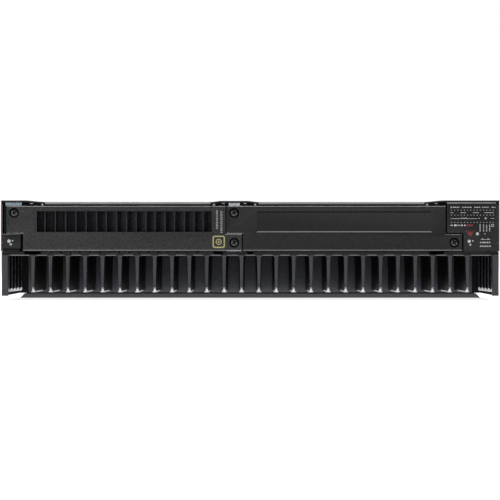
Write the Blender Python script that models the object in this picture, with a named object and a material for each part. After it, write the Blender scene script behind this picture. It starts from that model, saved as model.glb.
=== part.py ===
"""Fanless two-unit installation power amplifier.

Frame: X to the right and Z up when looking at the face with the supply bays, which is at -Y.
The connector panel is at +Y. The origin is the centre of the bottom. Lengths below are in millimetres.
"""

import math

import bmesh
import bpy
from mathutils import Matrix, Vector

MM = 0.001

# Whole body
HALF_W = 220.0
REAR, FRONT = -165.0, 165.0
HEIGHT = 88.1
GAP = 0.3

# Lower half: die-cast heat sink round a closed core
FIN_COUNT, FIN_PITCH = 26, 15.33
FIN_TOP_W, FIN_TIP_W = 3.0, 1.8
FIN_LOW, DECK_LOW, DECK_TOP = 6.9, 39.5, 42.8
NOTCHES = ((-200.0, -184.0), (-33.0, -23.3), (-3.4, 3.4), (157.6, 171.6))
CORE_REAR, CORE_HALF_W, CORE_WALL = -97.0, 211.7, 2.4
SKIRT_X, SKIRT_T, SKIRT_LOW = 219.2, 1.8, 3.9
POST_W, POST_DEPTH = 5.2, 7.0
RIB_START, RIB_PITCH, RIB_COUNT, RIB_T, RIB_REACH = -142.3, 15.33, 20, 2.4, 1.6
RIB_FOOT = 7.2
PAN_HALF_W, PAN_TOP, PAN_FLOOR, PAN_SLANT = 213.2, 4.2, 1.5, 3.8

# Upper half: two plug-in bays between posts, under a sheet cover
FACE_T = 3.0
FACE_LOW, FACE_STEP, FACE_TOP = 43.8, 58.3, 83.2
BAY_SHIFT = 194.2
UPPER_L, UPPER_R = -215.3, -21.7
LOWER_L, LOWER_R = -200.7, -7.2
CASE_L, CASE_R, CASE_BACK = -200.2, -22.1, 15.0
CASE_LOW, CASE_TOP, SHEET = 44.3, 82.7, 1.2
WINDOW = (-188.2, -33.8, 60.3, 78.6)
RECESS = (5.4, 160.2, 60.0, 78.4)
SCREW_UPPER, SCREW_LOWER = (-208.4, 77.1), (-14.1, 50.8)
SCREW_HEAD_R, SCREW_RING_R, SCREW_SHAFT_R, SEAT_HOLE_R = 3.6, 4.4, 1.9, 2.3
COVER_LOW, COVER_TOP, BOSS_DEPTH = 85.2, 86.7, 40.0
WALL_T, SCREW_HOLE_R = 1.5, 1.9

# Boards in the core and above the deck, and the cable opening through the deck
BOARD_Z, SIGNAL_Z = (12.0, 13.6), (47.2, 48.8)
CABLE_HOLE = ((-40.0, 40.0), (32.0, 50.0))

# Connector panel
PANEL_Y = 162.0
KNOB_X, KNOB_Z, KNOB_R = (-160.0, -130.0, -100.0, -70.0), 60.0, 8.5
INPUT_X, INPUT_Z, INPUT_SIZE = (-14.0, 30.0), 60.0, (32.0, 12.0)
OUTPUT_X, OUTPUT_Z, OUTPUT_SIZE = (-140.0, -90.0), 22.0, (40.0, 15.0)
POWER_X, POWER_Z, POWER_SIZE = (86.0,), 22.0, (56.0, 17.0)
JACK_X, JACK_Z, JACK_SIZE, JACK_PORT = (84.0, 106.0), 60.0, (16.0, 14.0), (11.8, 8.4)
BUTTON_AT, BUTTON_R = (150.0, 60.0), 4.0
STUD_AT = (182.0, 22.0)
LAMP_Z, LAMP_R = 76.0, 1.5
LAMP_X = (-160.0, -130.0, -100.0, -70.0, -24.0, -4.0, 84.0, 106.0)

PLANES = {"x": (1, 2, 0), "y": (0, 2, 1), "z": (0, 1, 2)}


class Solid:
    """Closed bodies gathered into one mesh, which becomes one named object."""

    def __init__(self):
        self.bm = bmesh.new()

    def prism(self, outline, axis, low, high):
        """A flat outline in the plane across the axis, drawn out from low to high."""
        u, v, w = PLANES[axis]
        rings = []
        for level in (low, high):
            ring = []
            for a, b in outline:
                point = [0.0, 0.0, 0.0]
                point[u], point[v], point[w] = a * MM, b * MM, level * MM
                ring.append(self.bm.verts.new(point))
            rings.append(ring)
        self._skin(rings)
        return self

    def box(self, x, y, z):
        return self.prism([(x[0], y[0]), (x[1], y[0]), (x[1], y[1]), (x[0], y[1])], "z", *z)

    def lathe(self, centre, axis, profile, sides=16):
        """Rings of (radius, position along the axis) about a line through the centre."""
        u, v, w = PLANES[axis]
        rings = []
        for radius, level in profile:
            ring = []
            for i in range(sides):
                angle = 2 * math.pi * (i + 0.5) / sides
                point = [0.0, 0.0, 0.0]
                point[u] = (centre[0] + radius * math.cos(angle)) * MM
                point[v] = (centre[1] + radius * math.sin(angle)) * MM
                point[w] = level * MM
                ring.append(self.bm.verts.new(point))
            rings.append(ring)
        self._skin(rings)
        return self

    def _skin(self, rings):
        faces = [self.bm.faces.new(rings[0]), self.bm.faces.new(rings[-1])]
        for near, far in zip(rings, rings[1:]):
            for i in range(len(near)):
                j = (i + 1) % len(near)
                faces.append(self.bm.faces.new((near[i], near[j], far[j], far[i])))
        bmesh.ops.recalc_face_normals(self.bm, faces=faces)

    def make(self, name, colour, smooth=False, metal=0.0, rough=0.5):
        mesh = bpy.data.meshes.new(name)
        self.bm.to_mesh(mesh)
        self.bm.free()
        obj = bpy.data.objects.new(name, mesh)
        bpy.context.scene.collection.objects.link(obj)
        if smooth:
            mesh.shade_smooth()
            mesh.set_sharp_from_angle(angle=math.radians(35))
        mesh.materials.append(paint(name, colour, metal, rough))
        return obj


def paint(name, colour, metal, rough):
    material = bpy.data.materials.new(name)
    material.use_nodes = True
    shader = material.node_tree.nodes["Principled BSDF"]
    shader.inputs["Base Color"].default_value = (*colour, 1.0)
    shader.inputs["Metallic"].default_value = metal
    shader.inputs["Roughness"].default_value = rough
    material.diffuse_color = (*colour, 1.0)
    return material


def pivot(obj, x, y, z):
    """Moves the object's own origin onto its joint, leaving its shape where it is."""
    at = Vector((x, y, z)) * MM
    obj.data.transform(Matrix.Translation(-at))
    obj.location = at
    return obj


def carry(name, at, children):
    """An empty that the pieces of one moving module hang from."""
    empty = bpy.data.objects.new(name, None)
    empty.location = Vector(at) * MM
    bpy.context.scene.collection.objects.link(empty)
    for child in children:
        piece = bpy.data.objects[child]
        piece.location = piece.location - empty.location
        piece.parent = empty


def combine(obj, solid, operation):
    """Cuts the solid from the object, or joins it on."""
    name = f"{obj.name}_{operation.lower()}_{len(obj.modifiers)}"
    tool = solid.make(name, (0.5, 0.5, 0.5))
    tool.hide_render = True
    tool.display_type = "WIRE"
    modifier = obj.modifiers.new(name, "BOOLEAN")
    modifier.operation = operation
    modifier.solver = "EXACT"
    modifier.object = tool
    return obj


def cut(obj, solid):
    return combine(obj, solid, "DIFFERENCE")


def join(obj, solid):
    return combine(obj, solid, "UNION")


def centred(at, half):
    return (at - half, at + half)


def arc(centre, radius, start, end, steps):
    """Points on an arc, angles in degrees."""
    points = []
    for i in range(steps + 1):
        angle = math.radians(start + (end - start) * i / steps)
        points.append((centre[0] + radius * math.cos(angle), centre[1] + radius * math.sin(angle)))
    return points


def mirrored(outline):
    return [(-a, b) for a, b in outline]


BLACK = (0.035, 0.036, 0.04)
GREY = (0.06, 0.062, 0.066)
ZINC = (0.55, 0.56, 0.58)
BOARD = (0.02, 0.09, 0.045)
COPPER = (0.55, 0.27, 0.13)
GREEN = (0.03, 0.16, 0.07)


def heatsink_outline():
    """Right half of the deck edge, with the tapered fins that hang from it."""
    fillet, chamfer_z, flat = 2.0, 1.0, 0.35
    top, tip = FIN_TOP_W / 2, FIN_TIP_W / 2
    outline = [(SKIRT_X, DECK_TOP), (GAP / 2, DECK_TOP), (GAP / 2, DECK_LOW)]
    for i in range(FIN_COUNT // 2):
        x = (i + 0.5) * FIN_PITCH
        outline += arc((x - top - fillet, DECK_LOW - fillet), fillet, 90, 0, 3)
        outline += [(x - tip, FIN_LOW + chamfer_z), (x - flat, FIN_LOW)]
        outline += [(x + flat, FIN_LOW), (x + tip, FIN_LOW + chamfer_z)]
        outline += arc((x + top + fillet, DECK_LOW - fillet), fillet, 180, 90, 3)
    outline.append((SKIRT_X, DECK_LOW))
    return outline


def heatsinks():
    """Two rear castings that meet in the middle, each half of the deck's edge with its fins."""
    for name, outline in (("left", mirrored(heatsink_outline())), ("right", heatsink_outline())):
        obj = Solid().prism(outline, "y", REAR, CORE_REAR).make(f"heatsink_rear_{name}", GREY)
        trim_heatsink(obj)


def trim_heatsink(obj):
    # The lower rear corner of each fin is cut off at 45 degrees.
    nose, margin = 4.4, 1.0
    high, low = FIN_LOW + nose + margin, FIN_LOW - margin
    wedge = [(REAR - margin, high), (REAR - margin, low), (REAR + nose + margin, low)]
    cut(obj, Solid().prism(wedge, "x", -SKIRT_X - margin, SKIRT_X + margin))
    # Shallow notches in the deck's edge give a screwdriver room under the faces.
    depth, slope, floor = 6.0, 1.2, DECK_LOW + 0.9
    notches = Solid()
    for left, right in NOTCHES:
        side = [(left, DECK_TOP + margin), (left + slope, floor), (right - slope, floor)]
        side.append((right, DECK_TOP + margin))
        notches.prism(side, "y", REAR - margin, REAR + depth)
    cut(obj, notches)


def side_castings():
    """Side skirts of the lower half: a corner post, and short ribs on the inside."""
    end, post_end = PANEL_Y - GAP, REAR + POST_DEPTH
    outer, inner, tip = SKIRT_X, SKIRT_X - SKIRT_T, SKIRT_X - SKIRT_T - RIB_REACH
    taper = 0.4
    outline = [(outer, end), (outer, REAR), (outer - POST_W, REAR), (outer - POST_W, post_end)]
    outline.append((inner, post_end))
    for i in range(RIB_COUNT):
        y = RIB_START + i * RIB_PITCH
        outline += [(inner, y - RIB_T / 2), (tip, y - RIB_T / 2 + taper)]
        outline += [(tip, y + RIB_T / 2 - taper), (inner, y + RIB_T / 2)]
    outline.append((inner, end))
    # Below the ribs' slanted feet the skirt's inner face is plain.
    edge = inner - 0.1
    foot = [(tip - 1, RIB_FOOT + RIB_REACH + 1), (tip - 1, SKIRT_LOW - 1), (edge, SKIRT_LOW - 1)]
    foot.append((edge, RIB_FOOT))
    for name, flip in (("skirt_left", -1), ("skirt_right", 1)):
        plan = [(flip * x, y) for x, y in outline]
        obj = Solid().prism(plan, "z", SKIRT_LOW, DECK_LOW - GAP).make(name, GREY)
        cut(obj, Solid().prism([(flip * x, z) for x, z in foot], "y", post_end + 1, end - 1))


def core_tray():
    """Deck plate with the core's side and rear walls below it."""
    wall, lip, lip_in, low = 2.0, 2.0, 200.0, PAN_TOP + 0.4
    outer, start = CORE_HALF_W, CORE_REAR + GAP
    half = [(SKIRT_X, DECK_LOW), (outer, DECK_LOW), (outer, low), (lip_in, low)]
    half += [(lip_in, low + lip), (outer - wall, low + lip), (outer - wall, DECK_LOW)]
    outline = [(-SKIRT_X, DECK_TOP), (SKIRT_X, DECK_TOP)] + half + mirrored(half)[::-1]
    obj = Solid().prism(outline, "y", start, PANEL_Y - GAP).make("core_tray", GREY)
    join(obj, Solid().box((-outer + 0.5, outer - 0.5), (start, start + CORE_WALL), (low, DECK_LOW + 1.2)))
    holes = Solid()
    for x, y in pan_screw_places():
        holes.lathe((x, y), "z", [(SCREW_HOLE_R, PAN_TOP), (SCREW_HOLE_R, low + lip + 1)], 8)
    holes.box(*CABLE_HOLE, (DECK_LOW - 1, DECK_TOP + 1))
    cut(obj, holes)
    places = [(x, y) for x in (-190, 190) for y in (70, 138)]
    join(obj, board_posts(places, DECK_TOP - 0.5, SIGNAL_Z[0] - 0.2))


def pan_screw_places():
    return [(side * 205.0, y) for side in (-1, 1) for y in (-70.0, 30.0, 130.0)]


def base_pan():
    """Shallow pan that closes the core from below, with slanted sides."""
    slant = [(-PAN_HALF_W, 0), (PAN_HALF_W, 0), (PAN_HALF_W - PAN_SLANT, PAN_TOP)]
    slant.append((-PAN_HALF_W + PAN_SLANT, PAN_TOP))
    start, end, rim = CORE_REAR - 0.2, PANEL_Y - GAP, 2.0
    obj = Solid().prism(slant, "y", start, end).make("base_pan", GREY)
    hollow_x = PAN_HALF_W - PAN_SLANT - rim
    cut(obj, Solid().box((-hollow_x, hollow_x), (start + rim, end - rim), (PAN_FLOOR, PAN_TOP + 1)))
    seats, seat_r, depth = Solid(), 3.5, 0.8
    for place in pan_screw_places():
        seat = [(seat_r, -1), (seat_r, depth), (SCREW_HOLE_R, depth), (SCREW_HOLE_R, PAN_FLOOR + 1)]
        seats.lathe(place, "z", seat, 12)
    cut(obj, seats)
    places = [(x, y) for x in (-185, 0, 185) for y in (-66, 120)]
    join(obj, board_posts(places, PAN_FLOOR - 0.5, BOARD_Z[0] - 0.2))


def face_outline(shift):
    """The stepped outline both bay faces share: wide upper part to the left, lower part to the right."""
    seam = 0.5
    outline = [(UPPER_L, FACE_TOP), (UPPER_L, FACE_STEP + seam), (LOWER_L, FACE_STEP + seam)]
    outline += [(LOWER_L, FACE_LOW), (LOWER_R, FACE_LOW), (LOWER_R, FACE_STEP)]
    outline += [(UPPER_R, FACE_STEP), (UPPER_R, FACE_TOP)]
    return [(x + shift, z) for x, z in outline]


def captive_screw(name, at):
    """Cross-head screw held in its face, reaching into the post behind."""
    x, z = at
    arm, half_slot, slot_end = 2.0, 0.42, REAR + 0.9
    profile = [(2.7, REAR + 0.1), (SCREW_HEAD_R, REAR + 0.7), (SCREW_HEAD_R, REAR + 1.5)]
    profile += [(SCREW_SHAFT_R, REAR + 1.5), (SCREW_SHAFT_R, REAR + 14.0), (1.3, REAR + 14.8)]
    obj = Solid().lathe((x, z), "y", profile, 20).make(name, BLACK, smooth=True, metal=1.0, rough=0.4)
    pivot(obj, x, REAR, z)
    for half_x, half_z in ((arm, half_slot), (half_slot, arm)):
        cut(obj, Solid().box(centred(x, half_x), (REAR - 1, slot_end), centred(z, half_z)))


def screw_seat(solid, at):
    """Counterbore for a captive screw through a bay face."""
    seat = [(SCREW_RING_R, REAR - 1), (SCREW_RING_R, REAR + 1.8), (SEAT_HOLE_R, REAR + 1.8)]
    solid.lathe(at, "y", seat + [(SEAT_HOLE_R, REAR + FACE_T + 1)], 20)


def shifted(at):
    return (at[0] + BAY_SHIFT, at[1])


def bay_faces():
    face = Solid().prism(face_outline(0), "y", REAR, REAR + FACE_T).make("supply_face", GREY)
    holes = Solid().box(WINDOW[:2], (REAR - 1, REAR + FACE_T + 1), WINDOW[2:])
    screw_seat(holes, SCREW_UPPER)
    screw_seat(holes, SCREW_LOWER)
    cut(face, holes)
    blank = Solid().prism(face_outline(BAY_SHIFT), "y", REAR, REAR + FACE_T).make("bay_cover", GREY)
    holes = Solid().box(RECESS[:2], (REAR - 1, REAR + 0.9), RECESS[2:])
    screw_seat(holes, shifted(SCREW_UPPER))
    screw_seat(holes, shifted(SCREW_LOWER))
    cut(blank, holes)
    captive_screw("supply_screw_upper", SCREW_UPPER)
    captive_screw("supply_screw_lower", SCREW_LOWER)
    captive_screw("bay_screw_upper", shifted(SCREW_UPPER))
    captive_screw("bay_screw_lower", shifted(SCREW_LOWER))


def supply_case():
    start = REAR + FACE_T + GAP
    walls = CASE_TOP - SHEET - GAP
    outline = [(CASE_L, CASE_LOW), (CASE_R, CASE_LOW), (CASE_R, walls), (CASE_R - SHEET, walls)]
    outline += [(CASE_R - SHEET, CASE_LOW + SHEET), (CASE_L + SHEET, CASE_LOW + SHEET)]
    outline += [(CASE_L + SHEET, walls), (CASE_L, walls)]
    case = Solid().prism(outline, "y", start, CASE_BACK - 0.5).make("supply_case", ZINC, metal=1.0)
    join(case, Solid().box((CASE_L, CASE_R), (CASE_BACK - SHEET, CASE_BACK), (CASE_LOW, walls)))
    lid = Solid().box((CASE_L, CASE_R), (start, CASE_BACK), (CASE_TOP - SHEET, CASE_TOP))
    lid.make("supply_lid", ZINC, metal=1.0)


def supply_heatsink():
    """Comb of upright blades seen through the window in the supply's face."""
    left, right, base, low, top = WINDOW[0] - 1.0, WINDOW[1] + 1.0, 56.0, 58.2, 79.4
    blade, pitch, first = 1.2, 8.8, -181.2
    outline = [(left, base), (right, base), (right, low)]
    xs = [first + i * pitch for i in range(17)]
    for x in reversed(xs):
        outline += [(x + blade / 2, low), (x + blade / 2, top), (x - blade / 2, top), (x - blade / 2, low)]
    outline.append((left, low))
    y0 = REAR + FACE_T + 2.0
    Solid().prism(outline, "y", y0, y0 + 70).make("supply_heatsink", BLACK, metal=0.6)


def supply_inside():
    low, top = 47.2, 48.8
    board = Solid().box((CASE_L + 4, CASE_R - 4), (-88, 9), (low, top)).make("supply_board", BOARD)
    caps = Solid()
    for x in (-94, -70, -46):
        for y in (-58, -34):
            caps.lathe((x, y), "z", [(9.5, top - 0.4), (9.5, 74)], 14)
    join(board, caps)
    frame = Solid().box((-150, -112), (-70, -30), (top + GAP, 78)).make("supply_transformer", COPPER)
    slots = Solid().box((-151, -140), (-64, -36), (top + 5, 73)).box((-122, -111), (-64, -36), (top + 5, 73))
    cut(frame, slots)
    winding = Solid().lathe((-131, -50), "z", [(12.5, top + 4.5), (12.5, 73.5)], 20)
    join(frame, winding)
    Solid().box((-141, -81), (CASE_BACK + GAP, 22.4), (54, 64)).make("supply_connector", BLACK)


def bay_posts():
    """Threaded posts behind the faces. Two of them have a tab on top that the cover rests on."""
    y, post_top = (REAR + FACE_T + 0.4, REAR + FACE_T + 13), FACE_TOP - 0.4
    posts = (
        ("left", (-214.6, -202.6), (FACE_STEP + 1.0, post_top), [SCREW_UPPER], ((-216.0, -201.6), 86.2)),
        ("centre", (-20.6, -8.0), (DECK_TOP + GAP, post_top), [SCREW_LOWER, shifted(SCREW_UPPER)],
         ((-19.0, -9.2), 85.8)),
        ("right", (174.6, 187.2), (DECK_TOP + GAP, FACE_STEP - 0.6), [shifted(SCREW_LOWER)], None),
    )
    for name, x, z, holes, tab in posts:
        post = Solid().box(x, y, z).make(f"bay_post_{name}", ZINC, metal=1.0)
        bores = Solid()
        for hole in holes:
            bores.lathe(hole, "y", [(SEAT_HOLE_R, y[0] - 1), (SEAT_HOLE_R, y[1] + 1)], 12)
        cut(post, bores)
        if tab:
            tab_x, top = tab
            join(post, Solid().box(centred(sum(x) / 2, 4), (y[0], y[1] - 1), (post_top - 1, top - 0.5)))
            join(post, Solid().box(tab_x, (REAR + 0.8, REAR + 14), (FACE_TOP + GAP, top)))


def bays():
    """Guide rails on the deck and the backplane that both bays plug into."""
    low, high, rail_top = DECK_TOP + 0.1, DECK_TOP + 0.6, CASE_LOW - GAP
    outline = [(172, high), (172, low), (-202, low), (-202, high)]
    for x in (-197.0, -30.0, -3.0, 164.0):
        outline += [(x, high), (x, rail_top), (x + 5, rail_top), (x + 5, high)]
    Solid().prism(outline, "y", -147, 14).make("guide_plate", ZINC, metal=1.0)
    backplane = Solid().box((-202, 188), (25, 26.6), (44, 82)).make("backplane", BOARD)
    sockets, pockets = Solid(), Solid()
    for x in (-111.0, -111.0 + BAY_SHIFT):
        sockets.box(centred(x, 34), (17, 25.4), (50.5, 67.5))
        pockets.box(centred(x, 31), (16, 23), (53, 65))
    cut(join(backplane, sockets), pockets)


def corner_blocks():
    """Plain block at the left corner, and the stepped block for the legend at the right."""
    depth, outer, groove = 14, 218.2, ((-219.5, -201.5), (REAR - 1, REAR + 1.2), (44.8, 45.7))
    block = Solid().box((-outer, -202.4), (REAR, REAR + depth), (DECK_TOP + GAP, FACE_STEP + 0.2))
    cut(block.make("corner_block_left", GREY), Solid().box(*groove))
    radius = 2.2
    x0, x1, step_x = 173.4, outer, 187.9
    low, high = DECK_TOP + GAP, COVER_TOP - 0.4
    outline = [(x0, FACE_STEP + 0.8), (step_x, FACE_STEP + 0.8), (step_x, low)]
    outline += arc((x1 - radius, low + radius), radius, 270, 360, 3)
    outline += arc((x1 - radius, high - radius), radius, 0, 90, 3) + [(x0, high)]
    Solid().prism(outline, "y", REAR, REAR + depth).make("label_block", GREY)


def side_walls():
    """Upper side sheets with the cover's flange folded in along the top."""
    flange, z0, z1 = 14.0, DECK_TOP + GAP, COVER_LOW - GAP
    start, end = REAR + 15.0, PANEL_Y - GAP
    outline = [(HALF_W, z0), (HALF_W, z1), (HALF_W - flange, z1), (HALF_W - flange, z1 - WALL_T)]
    outline += [(HALF_W - WALL_T, z1 - WALL_T), (HALF_W - WALL_T, z0)]
    for name, flip in (("side_wall_left", -1), ("side_wall_right", 1)):
        obj = Solid().prism([(flip * x, z) for x, z in outline], "y", start, end).make(name, GREY)
        edges = sorted((flip * HALF_W, flip * (HALF_W - WALL_T)))
        holes = Solid()
        for x, y in cover_screw_places():
            if x * flip > 0:
                holes.lathe((x, y), "z", [(SCREW_HOLE_R, z1 - WALL_T - 1), (SCREW_HOLE_R, z1 + 1)], 8)
        cut(obj, holes)
        join(obj, Solid().box(edges, (REAR + 0.6, start + 1), (z0, z1)))


def cover_screw_places():
    return [(side * 212.5, y) for side in (-1, 1) for y in (-100.0, 0.0, 100.0, 152.0)]


def cover_outline():
    """Rear edge of the cover: a flat sheet that steps up at both corners and the middle."""
    lift = HEIGHT - COVER_TOP
    path = [(-HALF_W, lift), (-198.8, lift), (-181.2, 0), (-34.8, 0), (-25.7, lift * 0.7)]
    path += [(-2.6, lift * 0.7), (7.1, 0), (153.9, 0), (170.6, lift), (HALF_W, lift)]
    top = [(x, COVER_TOP + z) for x, z in path]
    bottom = [(x, COVER_LOW + z * 0.95) for x, z in path]
    return top[::-1] + bottom


def top_cover():
    """Cover sheet, with its raised corners and middle at the bay side."""
    start = REAR + BOSS_DEPTH
    obj = Solid().box((-HALF_W, HALF_W), (start - 2, FRONT), (COVER_LOW, COVER_TOP)).make("top_cover", BLACK)
    join(obj, Solid().prism(cover_outline(), "y", REAR, start))
    holes = Solid()
    for place in cover_screw_places():
        holes.lathe(place, "z", [(SCREW_HOLE_R, COVER_LOW - 1), (SCREW_HOLE_R, COVER_TOP + 1)], 8)
    cut(obj, holes)


def panel_ports():
    """Openings through the connector panel."""
    y = (PANEL_Y - 1, FRONT + 1)
    ports = Solid()
    groups = [(INPUT_X, INPUT_Z, INPUT_SIZE), (OUTPUT_X, OUTPUT_Z, OUTPUT_SIZE)]
    groups += [(POWER_X, POWER_Z, POWER_SIZE), (JACK_X, JACK_Z, JACK_SIZE)]
    for xs, z, size in groups:
        for x in xs:
            ports.box(centred(x, size[0] / 2 + 0.5), y, centred(z, size[1] / 2 + 0.5))
    rounds = [((x, KNOB_Z), 3.4) for x in KNOB_X] + [((x, LAMP_Z), LAMP_R + 0.25) for x in LAMP_X]
    rounds += [(BUTTON_AT, BUTTON_R + 0.3), (STUD_AT, 2.9)]
    for at, radius in rounds:
        ports.lathe(at, "y", [(radius, y[0]), (radius, y[1])], 10)
    return ports


def front_panel():
    panel = Solid().box((-HALF_W, HALF_W), (PANEL_Y, FRONT), (PAN_TOP + 0.4, COVER_LOW - GAP))
    cut(panel.make("front_panel", BLACK), panel_ports())
    for i, x in enumerate(KNOB_X, 1):
        profile = [(3.0, 158.0), (3.0, FRONT + 0.6), (KNOB_R, FRONT + 0.6), (KNOB_R, FRONT + 3.0)]
        profile += [(KNOB_R - 1.2, FRONT + 3.6), (KNOB_R - 1.8, FRONT + 12.4), (KNOB_R - 2.6, FRONT + 13.0)]
        knob = Solid().lathe((x, KNOB_Z), "y", profile, 20).make(f"level_knob_{i}", BLACK, smooth=True)
        mark = Solid().box(centred(x, 0.5), (FRONT + 12.2, FRONT + 14), (KNOB_Z + 1.5, KNOB_Z + 9))
        cut(pivot(knob, x, FRONT, KNOB_Z), mark)
    bar = Solid().box((LAMP_X[0] - 3, LAMP_X[-1] + 3), (156, 159), centred(LAMP_Z, 1.2))
    lamps = Solid()
    for x in LAMP_X:
        lamps.lathe((x, LAMP_Z), "y", [(LAMP_R, 158.5), (LAMP_R, FRONT + 0.2), (0.9, FRONT + 0.6)], 8)
    join(bar.make("light_pipes", (0.2, 0.7, 0.25)), lamps)
    cap = [(BUTTON_R + 1.2, 158.0), (BUTTON_R + 1.2, 160.5), (BUTTON_R, 160.5), (BUTTON_R, FRONT + 1.6)]
    cap.append((BUTTON_R - 0.5, FRONT + 2.1))
    button = Solid().lathe(BUTTON_AT, "y", cap, 20).make("reset_button", BLACK, smooth=True)
    pivot(button, BUTTON_AT[0], FRONT, BUTTON_AT[1])
    shaft = [(4.6, 158.6), (4.6, 161.6), (2.5, 161.6), (2.5, 180), (2.1, 180.6)]
    stud = Solid().lathe(STUD_AT, "y", shaft, 16).make("ground_stud", ZINC, smooth=True, metal=1.0)
    join(stud, Solid().lathe(STUD_AT, "y", [(5.2, FRONT + 0.3), (5.2, FRONT + 4.3)], 6))


def terminals(kind, xs, z, size, poles):
    """A row of fixed headers behind the panel and the screw plugs that push into them."""
    w, h = size
    strip = Solid().box((xs[0] - w / 2 - 3, xs[-1] + w / 2 + 3), (147, PANEL_Y - 0.4), centred(z, h / 2 + 3))
    header, pockets = strip.make(f"{kind}_header", BLACK), Solid()
    for i, x in enumerate(xs, 1):
        pockets.box(centred(x, w / 2 + 0.4), (152, PANEL_Y + 1), centred(z, h / 2 + 0.4))
        plug = Solid().box(centred(x, w / 2), (154, FRONT + 14), centred(z, h / 2))
        plug_obj = plug.make(f"{kind}_plug_{i}", GREEN)
        bores = Solid()
        pitch = w / poles
        entry, screw_r = min(pitch * 0.32, 2.4), min(pitch * 0.3, 2.3)
        for k in range(poles):
            px = x - w / 2 + pitch * (k + 0.5)
            bores.box(centred(px, entry), (FRONT + 5, FRONT + 15), (z - h / 2 + 1.6, z - 0.2))
            bores.lathe((px, FRONT + 7.5), "z", [(screw_r, z + h / 2 - 2), (screw_r, z + h / 2 + 1)], 8)
        cut(pivot(plug_obj, x, FRONT, z), bores)
    cut(header, pockets)


def network_jacks():
    tall, port_tall = centred(JACK_Z, JACK_SIZE[1] / 2), centred(JACK_Z, JACK_PORT[1] / 2)
    for i, x in enumerate(JACK_X, 1):
        shell = Solid().box(centred(x, JACK_SIZE[0] / 2), (143, FRONT + 0.4), tall)
        port = Solid().box(centred(x, JACK_PORT[0] / 2), (FRONT - 12, FRONT + 2), port_tall)
        cut(shell.make(f"network_jack_{i}", ZINC, metal=1.0), port)


def amplifier_core():
    """Amplifier board and its power parts, clamped to the core's rear wall."""
    Solid().box((-195, 195), (-93.9, -82), (9, 36)).make("heat_spreader", ZINC, metal=1.0)
    Solid().box((-198, 198), (-74, 145), BOARD_Z).make("amplifier_board", BOARD)
    base = BOARD_Z[1] + 0.2
    coil_r, bore_r, coil_top = 15, 6, 35
    for i, x in enumerate((-120, -40, 40, 120), 1):
        Solid().box(centred(x, 26), (-81.7, -75.5), (16, 36)).make(f"output_module_{i}", BLACK)
        coil = Solid().lathe((x, 50), "z", [(coil_r, base), (coil_r, coil_top)], 20)
        coil_obj = coil.make(f"output_inductor_{i}", COPPER, smooth=True, metal=0.3)
        cut(coil_obj, Solid().lathe((x, 50), "z", [(bore_r, base - 1), (bore_r, coil_top + 1)], 14))
    can_r, can_top, rim = 15, 37.5, 1
    for i, x in enumerate((-40, 40), 1):
        profile = [(can_r, base), (can_r, can_top - rim), (can_r - rim, can_top)]
        Solid().lathe((x, -20), "z", profile, 24).make(f"bulk_capacitor_{i}", BLACK, smooth=True)


def signal_board():
    """Board above the deck with the level controls, the button's switch and its chips."""
    base = SIGNAL_Z[1] - 0.4
    board = Solid().box((-198, 198), (60, 145), SIGNAL_Z).make("signal_board", BOARD)
    parts = Solid().box(centred(BUTTON_AT[0], 6), (138, 154.5), (base, BUTTON_AT[1] + 6))
    for x in KNOB_X:
        parts.box(centred(x, 8), (138, 157.5), (base, KNOB_Z + 8))
    for x, y, half, height in ((-6, 106, 14, 3.0), (47, 106, 8, 1.8), (-80, 97, 9, 2.0), (108, 92, 8, 1.8)):
        parts.box(centred(x, half), centred(y, half), (base, SIGNAL_Z[1] + height))
    join(board, parts)


def board_posts(places, low, high):
    """Clinched posts that carry a board."""
    posts = Solid()
    for place in places:
        posts.lathe(place, "z", [(3, low), (3, high)], 6)
    return posts


def build():
    for obj in list(bpy.data.objects):
        bpy.data.objects.remove(obj, do_unlink=True)
    heatsinks()
    side_castings()
    core_tray()
    base_pan()
    bay_faces()
    supply_case()
    supply_heatsink()
    supply_inside()
    bay_posts()
    bays()
    corner_blocks()
    side_walls()
    top_cover()
    front_panel()
    terminals("input", INPUT_X, INPUT_Z, INPUT_SIZE, 6)
    terminals("output", OUTPUT_X, OUTPUT_Z, OUTPUT_SIZE, 4)
    terminals("power", POWER_X, POWER_Z, POWER_SIZE, 6)
    network_jacks()
    amplifier_core()
    signal_board()
    supply = ["face", "case", "lid", "heatsink", "board", "transformer", "connector"]
    supply += ["screw_upper", "screw_lower"]
    carry("supply_module", (-111, REAR, 63.5), [f"supply_{piece}" for piece in supply])
    carry("blank_module", (83, REAR, 63.5), ["bay_cover", "bay_screw_upper", "bay_screw_lower"])


build()
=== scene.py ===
"""Visual model of a fanless two-unit installation power amplifier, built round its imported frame.

X is to the right and Z up when looking at the supply bays, which face -Y; the connector panel faces +Y.
Lengths are in millimetres unless a name says otherwise.
"""

import math
import random

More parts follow.
